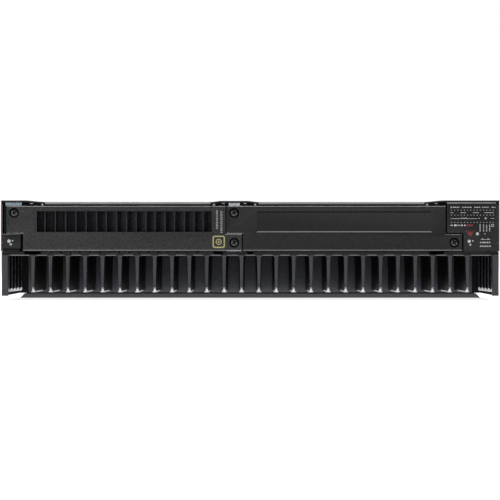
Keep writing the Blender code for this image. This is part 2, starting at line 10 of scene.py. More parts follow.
import bmesh
import bpy
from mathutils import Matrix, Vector


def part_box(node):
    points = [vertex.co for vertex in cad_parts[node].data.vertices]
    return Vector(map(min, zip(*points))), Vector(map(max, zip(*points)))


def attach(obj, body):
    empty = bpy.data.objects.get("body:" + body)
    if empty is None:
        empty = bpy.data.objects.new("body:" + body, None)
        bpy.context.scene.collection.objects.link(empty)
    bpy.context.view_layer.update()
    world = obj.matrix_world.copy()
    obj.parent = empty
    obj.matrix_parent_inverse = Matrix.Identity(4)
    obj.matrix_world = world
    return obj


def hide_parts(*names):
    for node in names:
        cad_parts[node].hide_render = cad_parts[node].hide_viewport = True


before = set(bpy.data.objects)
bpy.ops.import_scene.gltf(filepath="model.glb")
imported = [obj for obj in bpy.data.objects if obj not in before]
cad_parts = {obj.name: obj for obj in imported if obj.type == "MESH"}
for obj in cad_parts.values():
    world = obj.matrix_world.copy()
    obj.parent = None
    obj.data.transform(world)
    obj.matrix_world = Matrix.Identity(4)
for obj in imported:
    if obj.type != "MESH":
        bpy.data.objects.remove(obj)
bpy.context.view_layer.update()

MM = 0.001
PLANES = {"x": (1, 2, 0), "y": (0, 2, 1), "z": (0, 1, 2)}
SIDES = (("left", -1), ("right", 1))
SHARP_ANGLE = 32
# Slot 2 of the painted pieces holds a painted highlight on edges, and slot 3 holds painted shade.
PAINTED, EDGE, PAINTED_HIGHLIGHT, PAINTED_SHADE = range(4)     # material slots of painted pieces


def mm_box(node):
    """A node's box in millimetres, as x, y and z pairs."""
    low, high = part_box(node)
    return [(low[i] / MM, high[i] / MM) for i in range(3)]


# Places read from the frame
HEAT_X, HEAT_Y, HEAT_Z = mm_box("heatsink_rear_right")
SKIRT_Y, SKIRT_Z = mm_box("skirt_right")[1:]
PAN_X, PAN_Y, _ = mm_box("base_pan")
TRAY_Y, TRAY_Z = mm_box("core_tray")[1:]
FACE_X, FACE_Y, FACE_Z = mm_box("supply_face")
BLANK_X = mm_box("bay_cover")[0]
LABEL_X, LABEL_Y, LABEL_Z = mm_box("label_block")
BLOCK_X, BLOCK_Y, BLOCK_Z = mm_box("corner_block_left")
WALL_X, WALL_Y, WALL_Z = mm_box("side_wall_right")
COVER_X, _, COVER_Z = mm_box("top_cover")
PANEL_X, PANEL_Y, PANEL_Z = mm_box("front_panel")
REAR, FRONT = HEAT_Y[0], PANEL_Y[1]
BAY_SHIFT = BLANK_X[0] - FACE_X[0]

# Lower half
FIN_COUNT, FIN_PITCH, FIN_TOP_W, FIN_TIP_W = 26, 15.33, 3.0, 1.8
FIN_LOW, DECK_LOW, DECK_TOP = HEAT_Z[0], 39.5, HEAT_Z[1]
CORE_REAR, SKIRT_X = HEAT_Y[1], HEAT_X[1]
NOSE, POST_W, POST_DEPTH, POST_FILLET = 4.4, 5.2, 7.0, 1.6
RIB_START, RIB_PITCH, RIB_T, RIB_REACH, RIB_GROWTH, SKIRT_T = -148.0, 12.0, 2.4, 2.3, 1.0, 1.8
FRONT_RIBS, RIB_COUNT, RIB_FOOT = 5, 24, 7.2
NOTCHES = ((-200.0, -184.0), (-33.0, -23.3), (-3.4, 3.4), (157.6, 171.6))
DECK_SLOTS = [-175.7 + i * 8.6 for i in range(16)]
SLOT_HALF, SLOT_DEEP, SLOT_LONG = 0.9, 1.1, 2.5
PAN_TOP, PAN_SLANT, PAN_FLOOR = 4.2, 3.8, 1.5

# Upper half
FACE_STEP, LOWER_L, UPPER_R = 58.3, -200.7, -21.7
WINDOW = (-188.2, -33.8, 60.3, 78.6)
RECESS = (5.4, 160.2, 60.0, 78.4)
COVER_LOW, COVER_TOP, BOSS_DEPTH = 85.2, 86.7, 40.0

# Connector panel
KNOB_X, KNOB_Z, KNOB_R = (-160.0, -130.0, -100.0, -70.0), 60.0, 8.5
JACK_X, JACK_Z = (84.0, 106.0), 60.0
LAMP_X, LAMP_Z = (-160.0, -130.0, -100.0, -70.0, -24.0, -4.0, 84.0, 106.0), 76.0
BUTTON_AT, STUD_AT = (150.0, 60.0), (182.0, 22.0)


# ---------------------------------------------------------------- materials

class Paint:
    """A node material with the few helpers that every recipe here uses."""

    def __init__(self, name, metallic=0.0):
        self.material = bpy.data.materials.new(name)
        self.material.use_nodes = True
        self.tree = self.material.node_tree
        self.shader = self.tree.nodes["Principled BSDF"]
        self.shader.inputs["Metallic"].default_value = metallic
        self.coords = self.tree.nodes.new("ShaderNodeTexCoord").outputs["Object"]

    def link(self, output, target):
        self.tree.links.new(output, target)

    def noise(self, scale, detail=3.0, stretch=None, distortion=0.0):
        node = self.tree.nodes.new("ShaderNodeTexNoise")
        node.inputs["Scale"].default_value = scale
        node.inputs["Detail"].default_value = detail
        node.inputs["Distortion"].default_value = distortion
        source = self.coords
        if stretch:
            mapping = self.tree.nodes.new("ShaderNodeMapping")
            mapping.inputs["Scale"].default_value = stretch
            self.link(source, mapping.inputs["Vector"])
            source = mapping.outputs["Vector"]
        self.link(source, node.inputs["Vector"])
        return node.outputs["Fac"]

    def spread(self, value, low, high, start=0.3, end=0.7):
        """Stretches a noise value to the range low to high."""
        node = self.tree.nodes.new("ShaderNodeMapRange")
        for key, number in (("From Min", start), ("From Max", end), ("To Min", low), ("To Max", high)):
            node.inputs[key].default_value = number
        self.link(value, node.inputs["Value"])
        return node.outputs["Result"]

    def mix(self, factor, first, second):
        """A colour between two colours or outputs."""
        node = self.tree.nodes.new("ShaderNodeMix")
        node.data_type = "RGBA"
        self.link(factor, node.inputs["Factor"])
        for key, value in (("A", first), ("B", second)):
            socket = [s for s in node.inputs if s.name == key and s.type == "RGBA"][0]
            if isinstance(value, tuple):
                socket.default_value = (*value, 1.0)
            else:
                self.link(value, socket)
        return [s for s in node.outputs if s.type == "RGBA"][0]

    def colour(self, source):
        self.link(source, self.shader.inputs["Base Color"])

    def rough(self, source):
        self.link(source, self.shader.inputs["Roughness"])

    def bump(self, *layers):
        """Stacks bump layers, each a (height, strength, depth in millimetres)."""
        normal = None
        for height, strength, depth in layers:
            node = self.tree.nodes.new("ShaderNodeBump")
            node.inputs["Strength"].default_value = strength
            node.inputs["Distance"].default_value = depth * MM
            self.link(height, node.inputs["Height"])
            if normal:
                self.link(normal, node.inputs["Normal"])
            normal = node.outputs["Normal"]
        self.link(normal, self.shader.inputs["Normal"])


def shade(colour, factor):
    return tuple(min(1.0, channel * factor) for channel in colour)


def powder_coat(name, tone, rough=0.5, specular=0.5, grain=1500.0, metallic=0.0, contrast=1.0):
    """Fine-textured powder coat: orange-peel grain, faint mottling and duller patches."""
    paint = Paint(name, metallic)
    cloud = paint.spread(paint.noise(22.0, 4.0), 0.0, 1.0)
    speck = paint.spread(paint.noise(grain * 0.5, 3.0), 0.0, 1.0, 0.36, 0.64)
    base = paint.mix(cloud, shade(tone, 1 - 0.65 * contrast), shade(tone, 1 - 0.5 * contrast))
    lit = paint.mix(cloud, shade(tone, 1 + 0.5 * contrast), shade(tone, 1 + 0.85 * contrast))
    paint.colour(paint.mix(speck, base, lit))
    paint.rough(paint.spread(paint.noise(60.0, 5.0), rough - 0.05 * contrast, rough + 0.07 * contrast))
    paint.bump((paint.noise(grain, 2.0), 0.35, 0.12), (paint.noise(420.0, 3.0), 0.18, 0.1))
    paint.shader.inputs["Specular IOR Level"].default_value = specular
    return paint.material


def metal(name, tone, rough=0.3, grain=(1.0, 1.0, 1.0), metallic=1.0):
    """Plated or bare metal with a drawn grain and dull handling marks."""
    paint = Paint(name, metallic)
    streak = paint.noise(260.0, 4.0, stretch=grain)
    stain = paint.noise(35.0, 5.0)
    paint.colour(paint.mix(paint.spread(stain, 0.0, 1.0), shade(tone, 0.82), shade(tone, 1.06)))
    paint.rough(paint.spread(streak, rough - 0.08, rough + 0.12))
    paint.bump((streak, 0.12, 0.05), (paint.noise(900.0, 2.0), 0.08, 0.03))
    return paint.material


def plastic(name, tone, rough=0.45, grain=900.0):
    """Moulded plastic with a spark-eroded grain."""
    paint = Paint(name)
    cloud = paint.spread(paint.noise(45.0, 3.0), 0.0, 1.0)
    paint.colour(paint.mix(cloud, shade(tone, 0.85), shade(tone, 1.15)))
    paint.rough(paint.spread(paint.noise(120.0, 4.0), rough - 0.06, rough + 0.08))
    paint.bump((paint.noise(grain, 2.0), 0.2, 0.06))
    return paint.material


def ink(name, tone):
    """Screen-printed ink: thin, slightly uneven, with pinholes."""
    paint = Paint(name)
    pinholes = paint.spread(paint.noise(1400.0, 3.0), 0.0, 1.0, 0.25, 0.5)
    paint.colour(paint.mix(pinholes, shade(tone, 0.55), tone))
    paint.rough(paint.spread(paint.noise(300.0, 2.0), 0.4, 0.6))
    paint.bump((paint.noise(1400.0, 2.0), 0.1, 0.02))
    return paint.material


def circuit_board(name, tone):
    """Solder mask over fine copper tracks."""
    paint = Paint(name)
    tracks = paint.tree.nodes.new("ShaderNodeTexBrick")
    tracks.inputs["Scale"].default_value = 90.0
    tracks.inputs["Mortar Size"].default_value = 0.03
    tracks.offset = 0.37
    paint.link(paint.coords, tracks.inputs["Vector"])
    for key, factor in (("Color1", 1.0), ("Color2", 0.8), ("Mortar", 1.9)):
        tracks.inputs[key].default_value = (*shade(tone, factor), 1.0)
    patch = paint.spread(paint.noise(70.0, 2.0), 0.0, 1.0, 0.48, 0.52)
    paint.colour(paint.mix(patch, tracks.outputs["Color"], shade(tone, 0.7)))
    paint.rough(paint.spread(paint.noise(150.0, 3.0), 0.25, 0.4))
    paint.bump((tracks.outputs["Fac"], 0.2, 0.05), (paint.noise(700.0, 2.0), 0.1, 0.03))
    return paint.material


def windings(name, tone):
    """Enamelled wire laid turn by turn."""
    paint = Paint(name, 0.6)
    wave = paint.tree.nodes.new("ShaderNodeTexWave")
    wave.bands_direction = "Z"
    wave.inputs["Scale"].default_value = 320.0
    wave.inputs["Distortion"].default_value = 0.6
    paint.link(paint.coords, wave.inputs["Vector"])
    paint.colour(paint.mix(wave.outputs["Fac"], shade(tone, 0.5), shade(tone, 1.1)))
    paint.rough(paint.spread(paint.noise(200.0, 3.0), 0.25, 0.4))
    paint.bump((wave.outputs["Fac"], 0.6, 0.4))
    return paint.material


CAST = powder_coat("cast_coat", (0.03, 0.0305, 0.036), rough=0.5, specular=0.4, contrast=0.45)
# Lighter coat on the cast edges and rib tips: edge wear and painted highlight.
CAST_EDGE_HIGHLIGHT = powder_coat("cast_coat_edge", (0.11, 0.11, 0.125), rough=0.34, specular=0.6, metallic=0.5)
# Dark coat as painted shade on the deck's front, the fins' side faces and the ends of the core wall.
DECK = powder_coat("deck_shade_coat", (0.0045, 0.0045, 0.0055), rough=0.55, specular=0.2)
# Lighter coat on the core wall between the fins: painted light from below.
CORE = powder_coat("core_lit_coat", (0.125, 0.13, 0.148), rough=0.7, specular=0.05, contrast=0.2)
# Pan coat lighter than the cast coat: painted light from below.
PAN = powder_coat("pan_lit_coat", (0.09, 0.089, 0.103), rough=0.4, contrast=0.4)
FACE = powder_coat("face_coat", (0.0148, 0.0147, 0.016), rough=0.46, specular=0.35)
# Lighter coat on the painted sheets' rounded edges: edge wear and painted highlight.
FACE_EDGE_HIGHLIGHT = powder_coat("face_edge_wear_and_highlight", (0.145, 0.145, 0.147), rough=0.3, specular=0.7, metallic=0.5)
BLANK = powder_coat("blank_coat", (0.0068, 0.007, 0.0078), rough=0.46, specular=0.3)
SHELL = powder_coat("shell_coat", (0.007, 0.0072, 0.0078), rough=0.5, specular=0.35, contrast=0.4)
LABEL = powder_coat("label_coat", (0.0058, 0.006, 0.0066), rough=0.42, specular=0.28)
PANEL = powder_coat("panel_coat", (0.008, 0.0082, 0.009), rough=0.46, specular=0.35)
# Near-black for painted shade in gaps, recesses, notches and seats.
SHADOW = powder_coat("painted_shadow_black", (0.0015, 0.0015, 0.0016), rough=0.8, specular=0.1)
# Bright metal on the fins' and ribs' lower edges: machined metal and painted highlight of light from below.
BARE_HIGHLIGHT = metal("machined_edge_and_highlight", (0.8, 0.8, 0.82), rough=0.5, metallic=0.6)
# Lighter metal on the deck's lower lip between the fins: painted highlight of light from below.
LIP_HIGHLIGHT = metal("lip_highlight", (0.24, 0.24, 0.25), rough=0.42, metallic=0.8)
# Lighter edge metal: edge wear and painted highlight.
WORN_HIGHLIGHT = metal("edge_wear_and_highlight", (0.3, 0.3, 0.305), rough=0.38, metallic=0.8)
ZINC = metal("zinc_plate", (0.46, 0.48, 0.5), rough=0.34)
# Darkened zinc for the strip beside the supply's face: painted shade in the gap.
SHADED_STRIP = metal("shaded_zinc_strip", (0.02, 0.032, 0.036), rough=0.4)
DULL = metal("dull_plate", (0.27, 0.33, 0.36), rough=0.3)
BRIGHT = metal("bright_plate", (0.62, 0.66, 0.68), rough=0.22)
SCREW = metal("dark_screw", (0.085, 0.085, 0.087), rough=0.2)
ALUMINIUM = metal("milled_bar", (0.6, 0.6, 0.62), rough=0.3, grain=(0.1, 1.0, 4.0))
BLADES = powder_coat("anodised_blades", (0.0105, 0.01, 0.0135), rough=0.5, specular=0.2, grain=900.0)
# Lighter metal along the blades' right edges: painted highlight.
BLADE_HIGHLIGHT = metal("blade_edge_highlight", (0.036, 0.035, 0.042), rough=0.36, metallic=0.5)
GOLD = metal("gold_contact", (0.75, 0.55, 0.2), rough=0.25)
BLACK_PLASTIC = plastic("black_moulding", (0.014, 0.014, 0.015), rough=0.5)
PLUG_PLASTIC = plastic("plug_moulding", (0.02, 0.021, 0.022), rough=0.42)
KNOB_PLASTIC = plastic("knob_moulding", (0.016, 0.016, 0.017), rough=0.38)
SLEEVE = plastic("capacitor_sleeve", (0.012, 0.013, 0.022), rough=0.25)
LAMP_ON = plastic("lamp_green", (0.1, 0.55, 0.16), rough=0.2)
LAMP_OFF = plastic("lamp_clear", (0.35, 0.36, 0.34), rough=0.2)
BOARD = circuit_board("solder_mask", (0.012, 0.075, 0.032))
COPPER = windings("copper_windings", (0.5, 0.22, 0.09))
WHITE_INK = ink("white_ink", (0.46, 0.46, 0.47))
GREY_INK = ink("grey_ink", (0.22, 0.22, 0.225))
YELLOW_INK = ink("yellow_ink", (0.36, 0.34, 0.14))
RED_INK = ink("red_ink", (0.17, 0.014, 0.012))


# ---------------------------------------------------------------- mesh building

def spot(axis, a, b, level):
    """A point from its two places across an axis and its level along it."""
    point = [0.0, 0.0, 0.0]
    for i, value in zip(PLANES[axis], (a, b, level)):
        point[i] = value
    return point


def rectangle(x, z):
    return [(x[0], z[0]), (x[1], z[0]), (x[1], z[1]), (x[0], z[1])]


def polar(centre, radius, angle):
    return (centre[0] + radius * math.cos(angle), centre[1] + radius * math.sin(angle))


def circle(centre, radius, sides, turn=0.0):
    """The corners of a regular polygon, turned by a part of the step between them."""
    return [polar(centre, radius, 2 * math.pi * (i + turn) / sides) for i in range(sides)]


def raised(base, *profile):
    """Rings of (radius, level) with the levels counted from a base."""
    return [(radius, base + level) for radius, level in profile]


def side_span(side, a, b):
    """Two places on one side of the middle, in rising order."""
    return sorted((side * a, side * b))


class Shape:
    """Closed bodies gathered into one mesh. Points are in millimetres."""

    def __init__(self):
        self.bm = bmesh.new()

    def loft(self, rings):
        """Skins a list of closed rings of points and caps both ends."""
        made = self.vertices(rings)
        self.skin([self.bm.faces.new(made[0]), self.bm.faces.new(made[-1])], zip(made, made[1:]))
        return self

    def vertices(self, rings):
        return [[self.bm.verts.new(Vector(point) * MM) for point in ring] for ring in rings]

    def skin(self, faces, pairs):
        """Adds the faces between pairs of rings and turns all the faces outwards."""
        for near, far in pairs:
            for i in range(len(near)):
                j = (i + 1) % len(near)
                faces.append(self.bm.faces.new((near[i], near[j], far[j], far[i])))
        bmesh.ops.recalc_face_normals(self.bm, faces=faces)

    def prism(self, outline, axis, low, high, grow=0.0):
        """An outline drawn along an axis. The far end is larger by grow on each side of its middle."""
        middle = [sum(point[i] for point in outline) / len(outline) for i in (0, 1)]
        rings = []
        for level, extra in ((low, 0.0), (high, grow)):
            rings.append([spot(axis, a + math.copysign(extra, a - middle[0]),
                               b + math.copysign(extra, b - middle[1]), level) for a, b in outline])
        return self.loft(rings)

    def box(self, x, y, z):
        return self.prism(rectangle(x, y), "z", *z)

    def lathe(self, centre, axis, profile, sides=32):
        """Rings of (radius, level) about a line through the centre."""
        return self.loft([[spot(axis, a, b, level) for a, b in circle(centre, radius, sides, 0.5)]
                          for radius, level in profile])

    def make(self, name, *materials):
        mesh = bpy.data.meshes.new(name)
        self.bm.to_mesh(mesh)
        self.bm.free()
        obj = bpy.data.objects.new(name, mesh)
        bpy.context.scene.collection.objects.link(obj)
        mesh.shade_smooth()
        mesh.set_sharp_from_angle(angle=math.radians(SHARP_ANGLE))
        for material in materials:
            mesh.materials.append(material)
        return obj


def settle(obj):
    """Applies every modifier to the object's own mesh."""
    graph = bpy.context.evaluated_depsgraph_get()
    mesh = bpy.data.meshes.new_from_object(obj.evaluated_get(graph))
    obj.modifiers.clear()
    obj.data = mesh
    mesh.shade_smooth()
    mesh.set_sharp_from_angle(angle=math.radians(SHARP_ANGLE))


def split(obj, axis, level):
    """Adds a line of edges round the piece at a level, so that each side can have its own finish."""
    normal = Vector([1.0 if key == axis else 0.0 for key in "xyz"])
    bm = bmesh.new()
    bm.from_mesh(obj.data)
    everything = bm.verts[:] + bm.edges[:] + bm.faces[:]
    bmesh.ops.bisect_plane(bm, geom=everything, plane_co=normal * level * MM, plane_no=normal)
    bm.to_mesh(obj.data)
    bm.free()


def cut(obj, *shapes):
    """Cuts shapes out of the object's own mesh, one after another."""
    tools = []
    for i, shape in enumerate(shapes):
        tool = shape.make(f"{obj.name}_tool_{i}", *obj.data.materials)
        modifier = obj.modifiers.new(tool.name, "BOOLEAN")
        modifier.operation = "DIFFERENCE"
        modifier.solver = "EXACT"
        modifier.object = tool
        tools.append(tool)
    settle(obj)
    for tool in tools:
        bpy.data.objects.remove(tool, do_unlink=True)


def bevel(obj, width, segments=2, edge_slot=None, angle=SHARP_ANGLE):
    """Rounds the edges. edge_slot is the material slot the rounded strips take."""
    modifier = obj.modifiers.new("rounded_edges", "BEVEL")
    modifier.width = width * MM
    modifier.segments = segments
    modifier.limit_method = "ANGLE"
    modifier.angle_limit = math.radians(angle)
    modifier.harden_normals = True
    modifier.use_clamp_overlap = True
    if edge_slot is not None:
        modifier.material = edge_slot
    return obj


def finish_piece(obj, slot, *nodes, body="chassis"):
    """Puts a finished piece on its body, in place of the CAD nodes it stands for."""
    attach(obj, body)
    if nodes:
        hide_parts(*nodes)


def place(shape, name, material, slot, *nodes, body="chassis", edge=0.0):
    """Makes a piece of one material, rounds its edges if edge is set, and puts it on its body."""
    obj = shape.make(name, material)
    if edge:
        bevel(obj, edge)
    finish_piece(obj, slot, *nodes, body=body)


def paint_by_normal(obj, slot, test):
    """Gives a material slot to the faces whose normal and centre (in millimetres) pass the test."""
    for face in obj.data.polygons:
        if test(face.normal, face.center / MM):
            face.material_index = slot


def centred(at, half):
    return (at - half, at + half)


def arc(centre, radius, start, end, steps):
    return [polar(centre, radius, math.radians(start + (end - start) * i / steps)) for i in range(steps + 1)]


def rounded(x, z, radius):
    """A rectangle with round corners, anticlockwise."""
    corners = rectangle((x[0] + radius, x[1] - radius), (z[0] + radius, z[1] - radius))
    outline = []
    for i, corner in enumerate(corners[1:] + corners[:1]):
        outline += arc(corner, radius, 90 * i - 90, 90 * i, 5)
    return outline


def mirrored(shape, flip):
    """A copy of the shape, mirrored across the middle for -1."""
    copy = Shape()
    copy.bm.free()
    copy.bm = shape.bm.copy()
    if flip < 0:
        for vertex in copy.bm.verts:
            vertex.co.x = -vertex.co.x
        bmesh.ops.reverse_faces(copy.bm, faces=copy.bm.faces)
    return copy


def flipped(outline, flip):
    """The outline itself for 1, or its mirror image across the middle for -1."""
    return [(flip * a, b) for a, b in outline]


# ---------------------------------------------------------------- lower half

def heatsink_outline(extra=0.0):
    """Right half of the deck edge with its fins, each made thicker by extra."""
    fillet, chamfer_z, flat, steps = 2.0, 1.0, 0.35, 6
    top, tip = (FIN_TOP_W + extra) / 2, (FIN_TIP_W + extra) / 2
    outline = [(SKIRT_X, DECK_TOP), (HEAT_X[0], DECK_TOP), (HEAT_X[0], DECK_LOW)]
    for i in range(FIN_COUNT // 2):
        x = (i + 0.5) * FIN_PITCH
        outline += arc((x - top - fillet, DECK_LOW - fillet), fillet, 90, 0, steps)
        outline += [(x - tip, FIN_LOW + chamfer_z), (x - flat - extra / 2, FIN_LOW)]
        outline += [(x + flat + extra / 2, FIN_LOW), (x + tip, FIN_LOW + chamfer_z)]
        outline += arc((x + top + fillet, DECK_LOW - fillet), fillet, 180, 90, steps)
    outline.append((SKIRT_X, DECK_LOW))
    return outline


def heatsinks():
    """Cast combs of fins under the deck edge. The fins grow thicker inwards, as the mould's draft needs."""
    margin, fin_span, draft, bare_depth = 1.0, 205.0, 3.0, 50.0
    wedge = [(REAR - margin, FIN_LOW + NOSE + margin), (REAR - margin, FIN_LOW - margin)]
    wedge.append((REAR + NOSE + margin, FIN_LOW - margin))
    depth, slope, floor = 6.0, 1.2, DECK_LOW + 0.9
    bare_z, nose_z, deck_z, bare_y = FIN_LOW + NOSE + 0.5, FIN_LOW + 2.9, DECK_LOW + 0.1, REAR + bare_depth
    bare_and_highlight, edge, wear_and_highlight, shadow, deck = 1, 2, 3, 4, 5
    for side, flip in SIDES:
        rings = []
        for y, extra in ((REAR, 0.0), (CORE_REAR, draft)):
            rings.append([(x, y, z) for x, z in flipped(heatsink_outline(extra), flip)])
        obj = Shape().loft(rings).make(f"heatsink_comb_{side}", CAST, BARE_HIGHLIGHT, CAST_EDGE_HIGHLIGHT, WORN_HIGHLIGHT, SHADOW, DECK)
        cut(obj, Shape().prism(wedge, "x", -fin_span, fin_span))
        for axis, level in (("y", bare_y), ("z", deck_z), ("z", nose_z)):
            split(obj, axis, level)
        # Painted highlight: the nose chamfers and the fins' lower edges take the bright metal, and the faces
        # just above them the lighter edge metal.
        paint_by_normal(obj, bare_and_highlight, lambda n, c: n.z < -0.3 and c.z < nose_z and c.y < bare_y)
        paint_by_normal(obj, wear_and_highlight, lambda n, c: n.z < -0.3 and nose_z < c.z < bare_z and c.y < bare_y)
        # Painted shade: the deck's front and the fins' side faces take the dark deck coat.
        paint_by_normal(obj, deck, lambda n, c: n.y < -0.9 and c.z > deck_z)
        paint_by_normal(obj, deck, lambda n, c: (
            abs(n.x) > 0.6 and abs(c.x) < fin_span and bare_z - 4 < c.z < deck_z))
        # The rounded edges take the lighter cast edge coat as a painted highlight.
        settle(bevel(obj, 0.5, 2, edge))
        # Painted highlight on the deck's lower front bevel between the fins.
        paint_by_normal(obj, wear_and_highlight, lambda n, c: (
            n.z < -0.25 and n.y < -0.2 and c.z > bare_z and c.y < REAR + 1))
        cuts = Shape()
        for left, right in NOTCHES:
            notch = [(left, DECK_TOP + margin), (left + slope, floor), (right - slope, floor)]
            cuts.prism(notch + [(right, DECK_TOP + margin)], "y", REAR - margin, REAR + depth)
        for x in DECK_SLOTS:
            cuts.box(centred(x, SLOT_HALF), (REAR - margin, REAR + SLOT_LONG),
                     (DECK_TOP - SLOT_DEEP, DECK_TOP + margin))
        cut(obj, cuts)
        paint_by_normal(obj, shadow, lambda n, c: in_notch(c, floor, depth) or in_deck_slot(c))
        finish_piece(obj, "cast_body", f"heatsink_rear_{side}")


def fin_feet():
    """Small flares where each fin's lower edge begins, behind its cut-off nose, in the bright metal: machined
    metal and painted highlight.
    """
    feet = Shape()
    low, depth = FIN_LOW + 0.15, (REAR + 3.4, REAR + 9.5)
    for i in range(FIN_COUNT):
        x = (i + 0.5 - FIN_COUNT / 2) * FIN_PITCH
        feet.prism([(x - 2.2, low), (x + 2.2, low), (x + 0.8, low + 2.1), (x - 0.8, low + 2.1)], "y", *depth)
    place(feet, "fin_feet", BARE_HIGHLIGHT, "cast_body", edge=0.2)


def channel_lips():
    """Lower lip of the deck edge, broken at every fin, in a lighter metal as painted highlight of light from
    below.
    """
    lips, half = Shape(), FIN_TOP_W / 2 + 1.9
    profile = [(REAR - 0.04, DECK_LOW + 0.6), (REAR - 0.04, DECK_LOW + 0.25), (REAR + 0.5, DECK_LOW - 0.2)]
    profile.append((REAR + 1.0, DECK_LOW + 0.5))
    for i in range(FIN_COUNT - 1):
        x = (i + 0.5 - FIN_COUNT / 2) * FIN_PITCH
        lips.prism(profile, "x", x + half, x + FIN_PITCH - half)
    end = (FIN_COUNT - 1) / 2 * FIN_PITCH + half
    for side in (-1, 1):
        lips.prism(profile, "x", *side_span(side, end, SKIRT_X - POST_W - 2))
    place(lips, "channel_lips", LIP_HIGHLIGHT, "cast_body", edge=0.12)


def core_face():
    """Facing of the core's rear wall, seen between the fins, in a lighter coat as painted light from below,
    with dark ends as painted shade.
    """
    y, z, end = (CORE_REAR + 0.02, TRAY_Y[0] - 0.02), (TRAY_Z[0] + 0.1, DECK_LOW), 205.5
    place(Shape().box((-end, end), y, z), "core_wall_lit_face", CORE, "cast_body")
    ends = Shape()
    for side in (-1, 1):
        ends.box(side_span(side, end + 0.1, SKIRT_X - SKIRT_T - 0.2), y, z)
    place(ends, "core_wall_shaded_ends", DECK, "cast_body")


def in_notch(centre, floor, depth):
    """True for a face inside one of the notches in the deck."""
    deep_enough = REAR + 0.2 < centre.y < REAR + depth + 0.1
    return centre.z > floor - 0.1 and deep_enough and any(a <= centre.x <= b for a, b in NOTCHES)


def in_deck_slot(centre):
    """True for a face inside one of the small slots in the deck's top edge."""
    near = REAR + 0.2 < centre.y < REAR + SLOT_LONG + 0.1 and centre.z > DECK_TOP - SLOT_DEEP - 0.1
    return near and any(abs(centre.x - x) < SLOT_HALF + 0.1 for x in DECK_SLOTS)


def skirts():
    """Side castings: a skirt with short cooling ribs on the inside, and the corner post in front."""
    outer, start, taper = SKIRT_X, REAR + POST_DEPTH, 0.4
    inner, post = outer - SKIRT_T, outer - POST_W
    outline = [(outer, SKIRT_Y[1]), (outer, REAR), (post, REAR), (post, start - POST_FILLET)]
    outline += arc((post + POST_FILLET, start - POST_FILLET), POST_FILLET, 180, 90, 4)
    outline.append((inner, start))
    foot, chamfer, half, low = Shape(), 0.9, RIB_T / 2, SKIRT_Z[0] - 1
    bare_and_highlight, edge, shadow = 1, 2, 3
    for i in range(RIB_COUNT):
        y = RIB_START + i * RIB_PITCH
        tip = inner - RIB_REACH - (i * RIB_GROWTH if i < FRONT_RIBS else 0)
        outline += [(inner, y - half), (tip + chamfer, y - half), (tip, y - half + chamfer)]
        outline += [(tip, y + half - taper), (inner, y + half)]
        rings = []
        for x, rise in ((tip - 1, 4.4), (tip, 4.4), (min(tip + 3, inner - 0.1), 0.5), (inner - 0.05, 0.4)):
            section = [(y - half - 0.2, RIB_FOOT + rise), (y - half - 0.2, low), (y + half + 0.2, low)]
            rings.append([(x, b, c) for b, c in section + [(y + half + 0.2, RIB_FOOT - 0.6)]])
        foot.loft(rings)
    outline.append((inner, SKIRT_Y[1]))
    for side, flip in SIDES:
        plan = Shape().prism(flipped(outline, flip), "z", SKIRT_Z[0], DECK_LOW - 0.02)
        obj = plan.make(f"skirt_{side}_cast", CAST, BARE_HIGHLIGHT, CAST_EDGE_HIGHLIGHT, SHADOW)
        cut(obj, mirrored(foot, flip))
        # Painted light: the ribs' lower slopes take the bright metal, and the rib tips and rounded edges the
        # lighter cast edge coat, as painted highlight; the skirt's inner wall and the rib fronts take the
        # near-black as painted shade.
        paint_by_normal(obj, bare_and_highlight, lambda n, c: n.z < -0.3 and c.z > SKIRT_Z[0] + 0.1)
        paint_by_normal(obj, shadow, lambda n, c: (
            abs(n.x) > 0.9 and abs(abs(c.x) - inner) < 0.1 and c.z > RIB_FOOT))
        paint_by_normal(obj, shadow, lambda n, c: n.y < -0.95 and c.y > start + 1 and c.z > RIB_FOOT + 3)
        paint_by_normal(obj, edge, lambda n, c: -0.95 < n.y < -0.3 and c.y > start + 1 and c.z > RIB_FOOT + 3)
        finish_piece(bevel(obj, 0.3, 2, edge), "cast_body", f"skirt_{side}")
    foot.bm.free()


def pan():
    """Folded pan that closes the core from below, with its slanted side lips; its coat is lighter than the
    cast coat as painted light from below.
    """
    x, inside, lip, seat = PAN_X[1], 208, 2, 0.8
    slant = [(-x, 0), (x, 0), (x - PAN_SLANT, PAN_TOP), (-x + PAN_SLANT, PAN_TOP)]
    obj = Shape().prism(slant, "y", *PAN_Y).make("pan_sheet", PAN, FACE_EDGE_HIGHLIGHT)
    hollow = Shape().box((-inside, inside), (PAN_Y[0] + lip, PAN_Y[1] - lip), (PAN_FLOOR, PAN_TOP + 1))
    seats, screws = Shape(), Shape()
    for at in [(side * 205.0, y) for side in (-1, 1) for y in (-70.0, 30.0, 130.0)]:
        seats.lathe(at, "z", [(3.5, -1), (3.5, seat), (1.9, seat), (1.9, PAN_FLOOR + 1)], 24)
        pan_head(screws, at, seat, -1)
    cut(obj, hollow, seats)
    finish_piece(bevel(obj, 0.35, 2, EDGE), "pan_sheet", "base_pan")
    # A strip of the near-black in the gap between the pan and the core, as painted shade.
    gap_shadow = Shape().box((-207.5, 207.5), (PAN_Y[0] + 0.1, PAN_Y[0] + 1.2), (PAN_TOP - 0.35, PAN_TOP + 0.75))
    place(gap_shadow, "pan_gap_shadow", SHADOW, "black_plastic")
    place(screws, "pan_screws", SCREW, "black_screw")


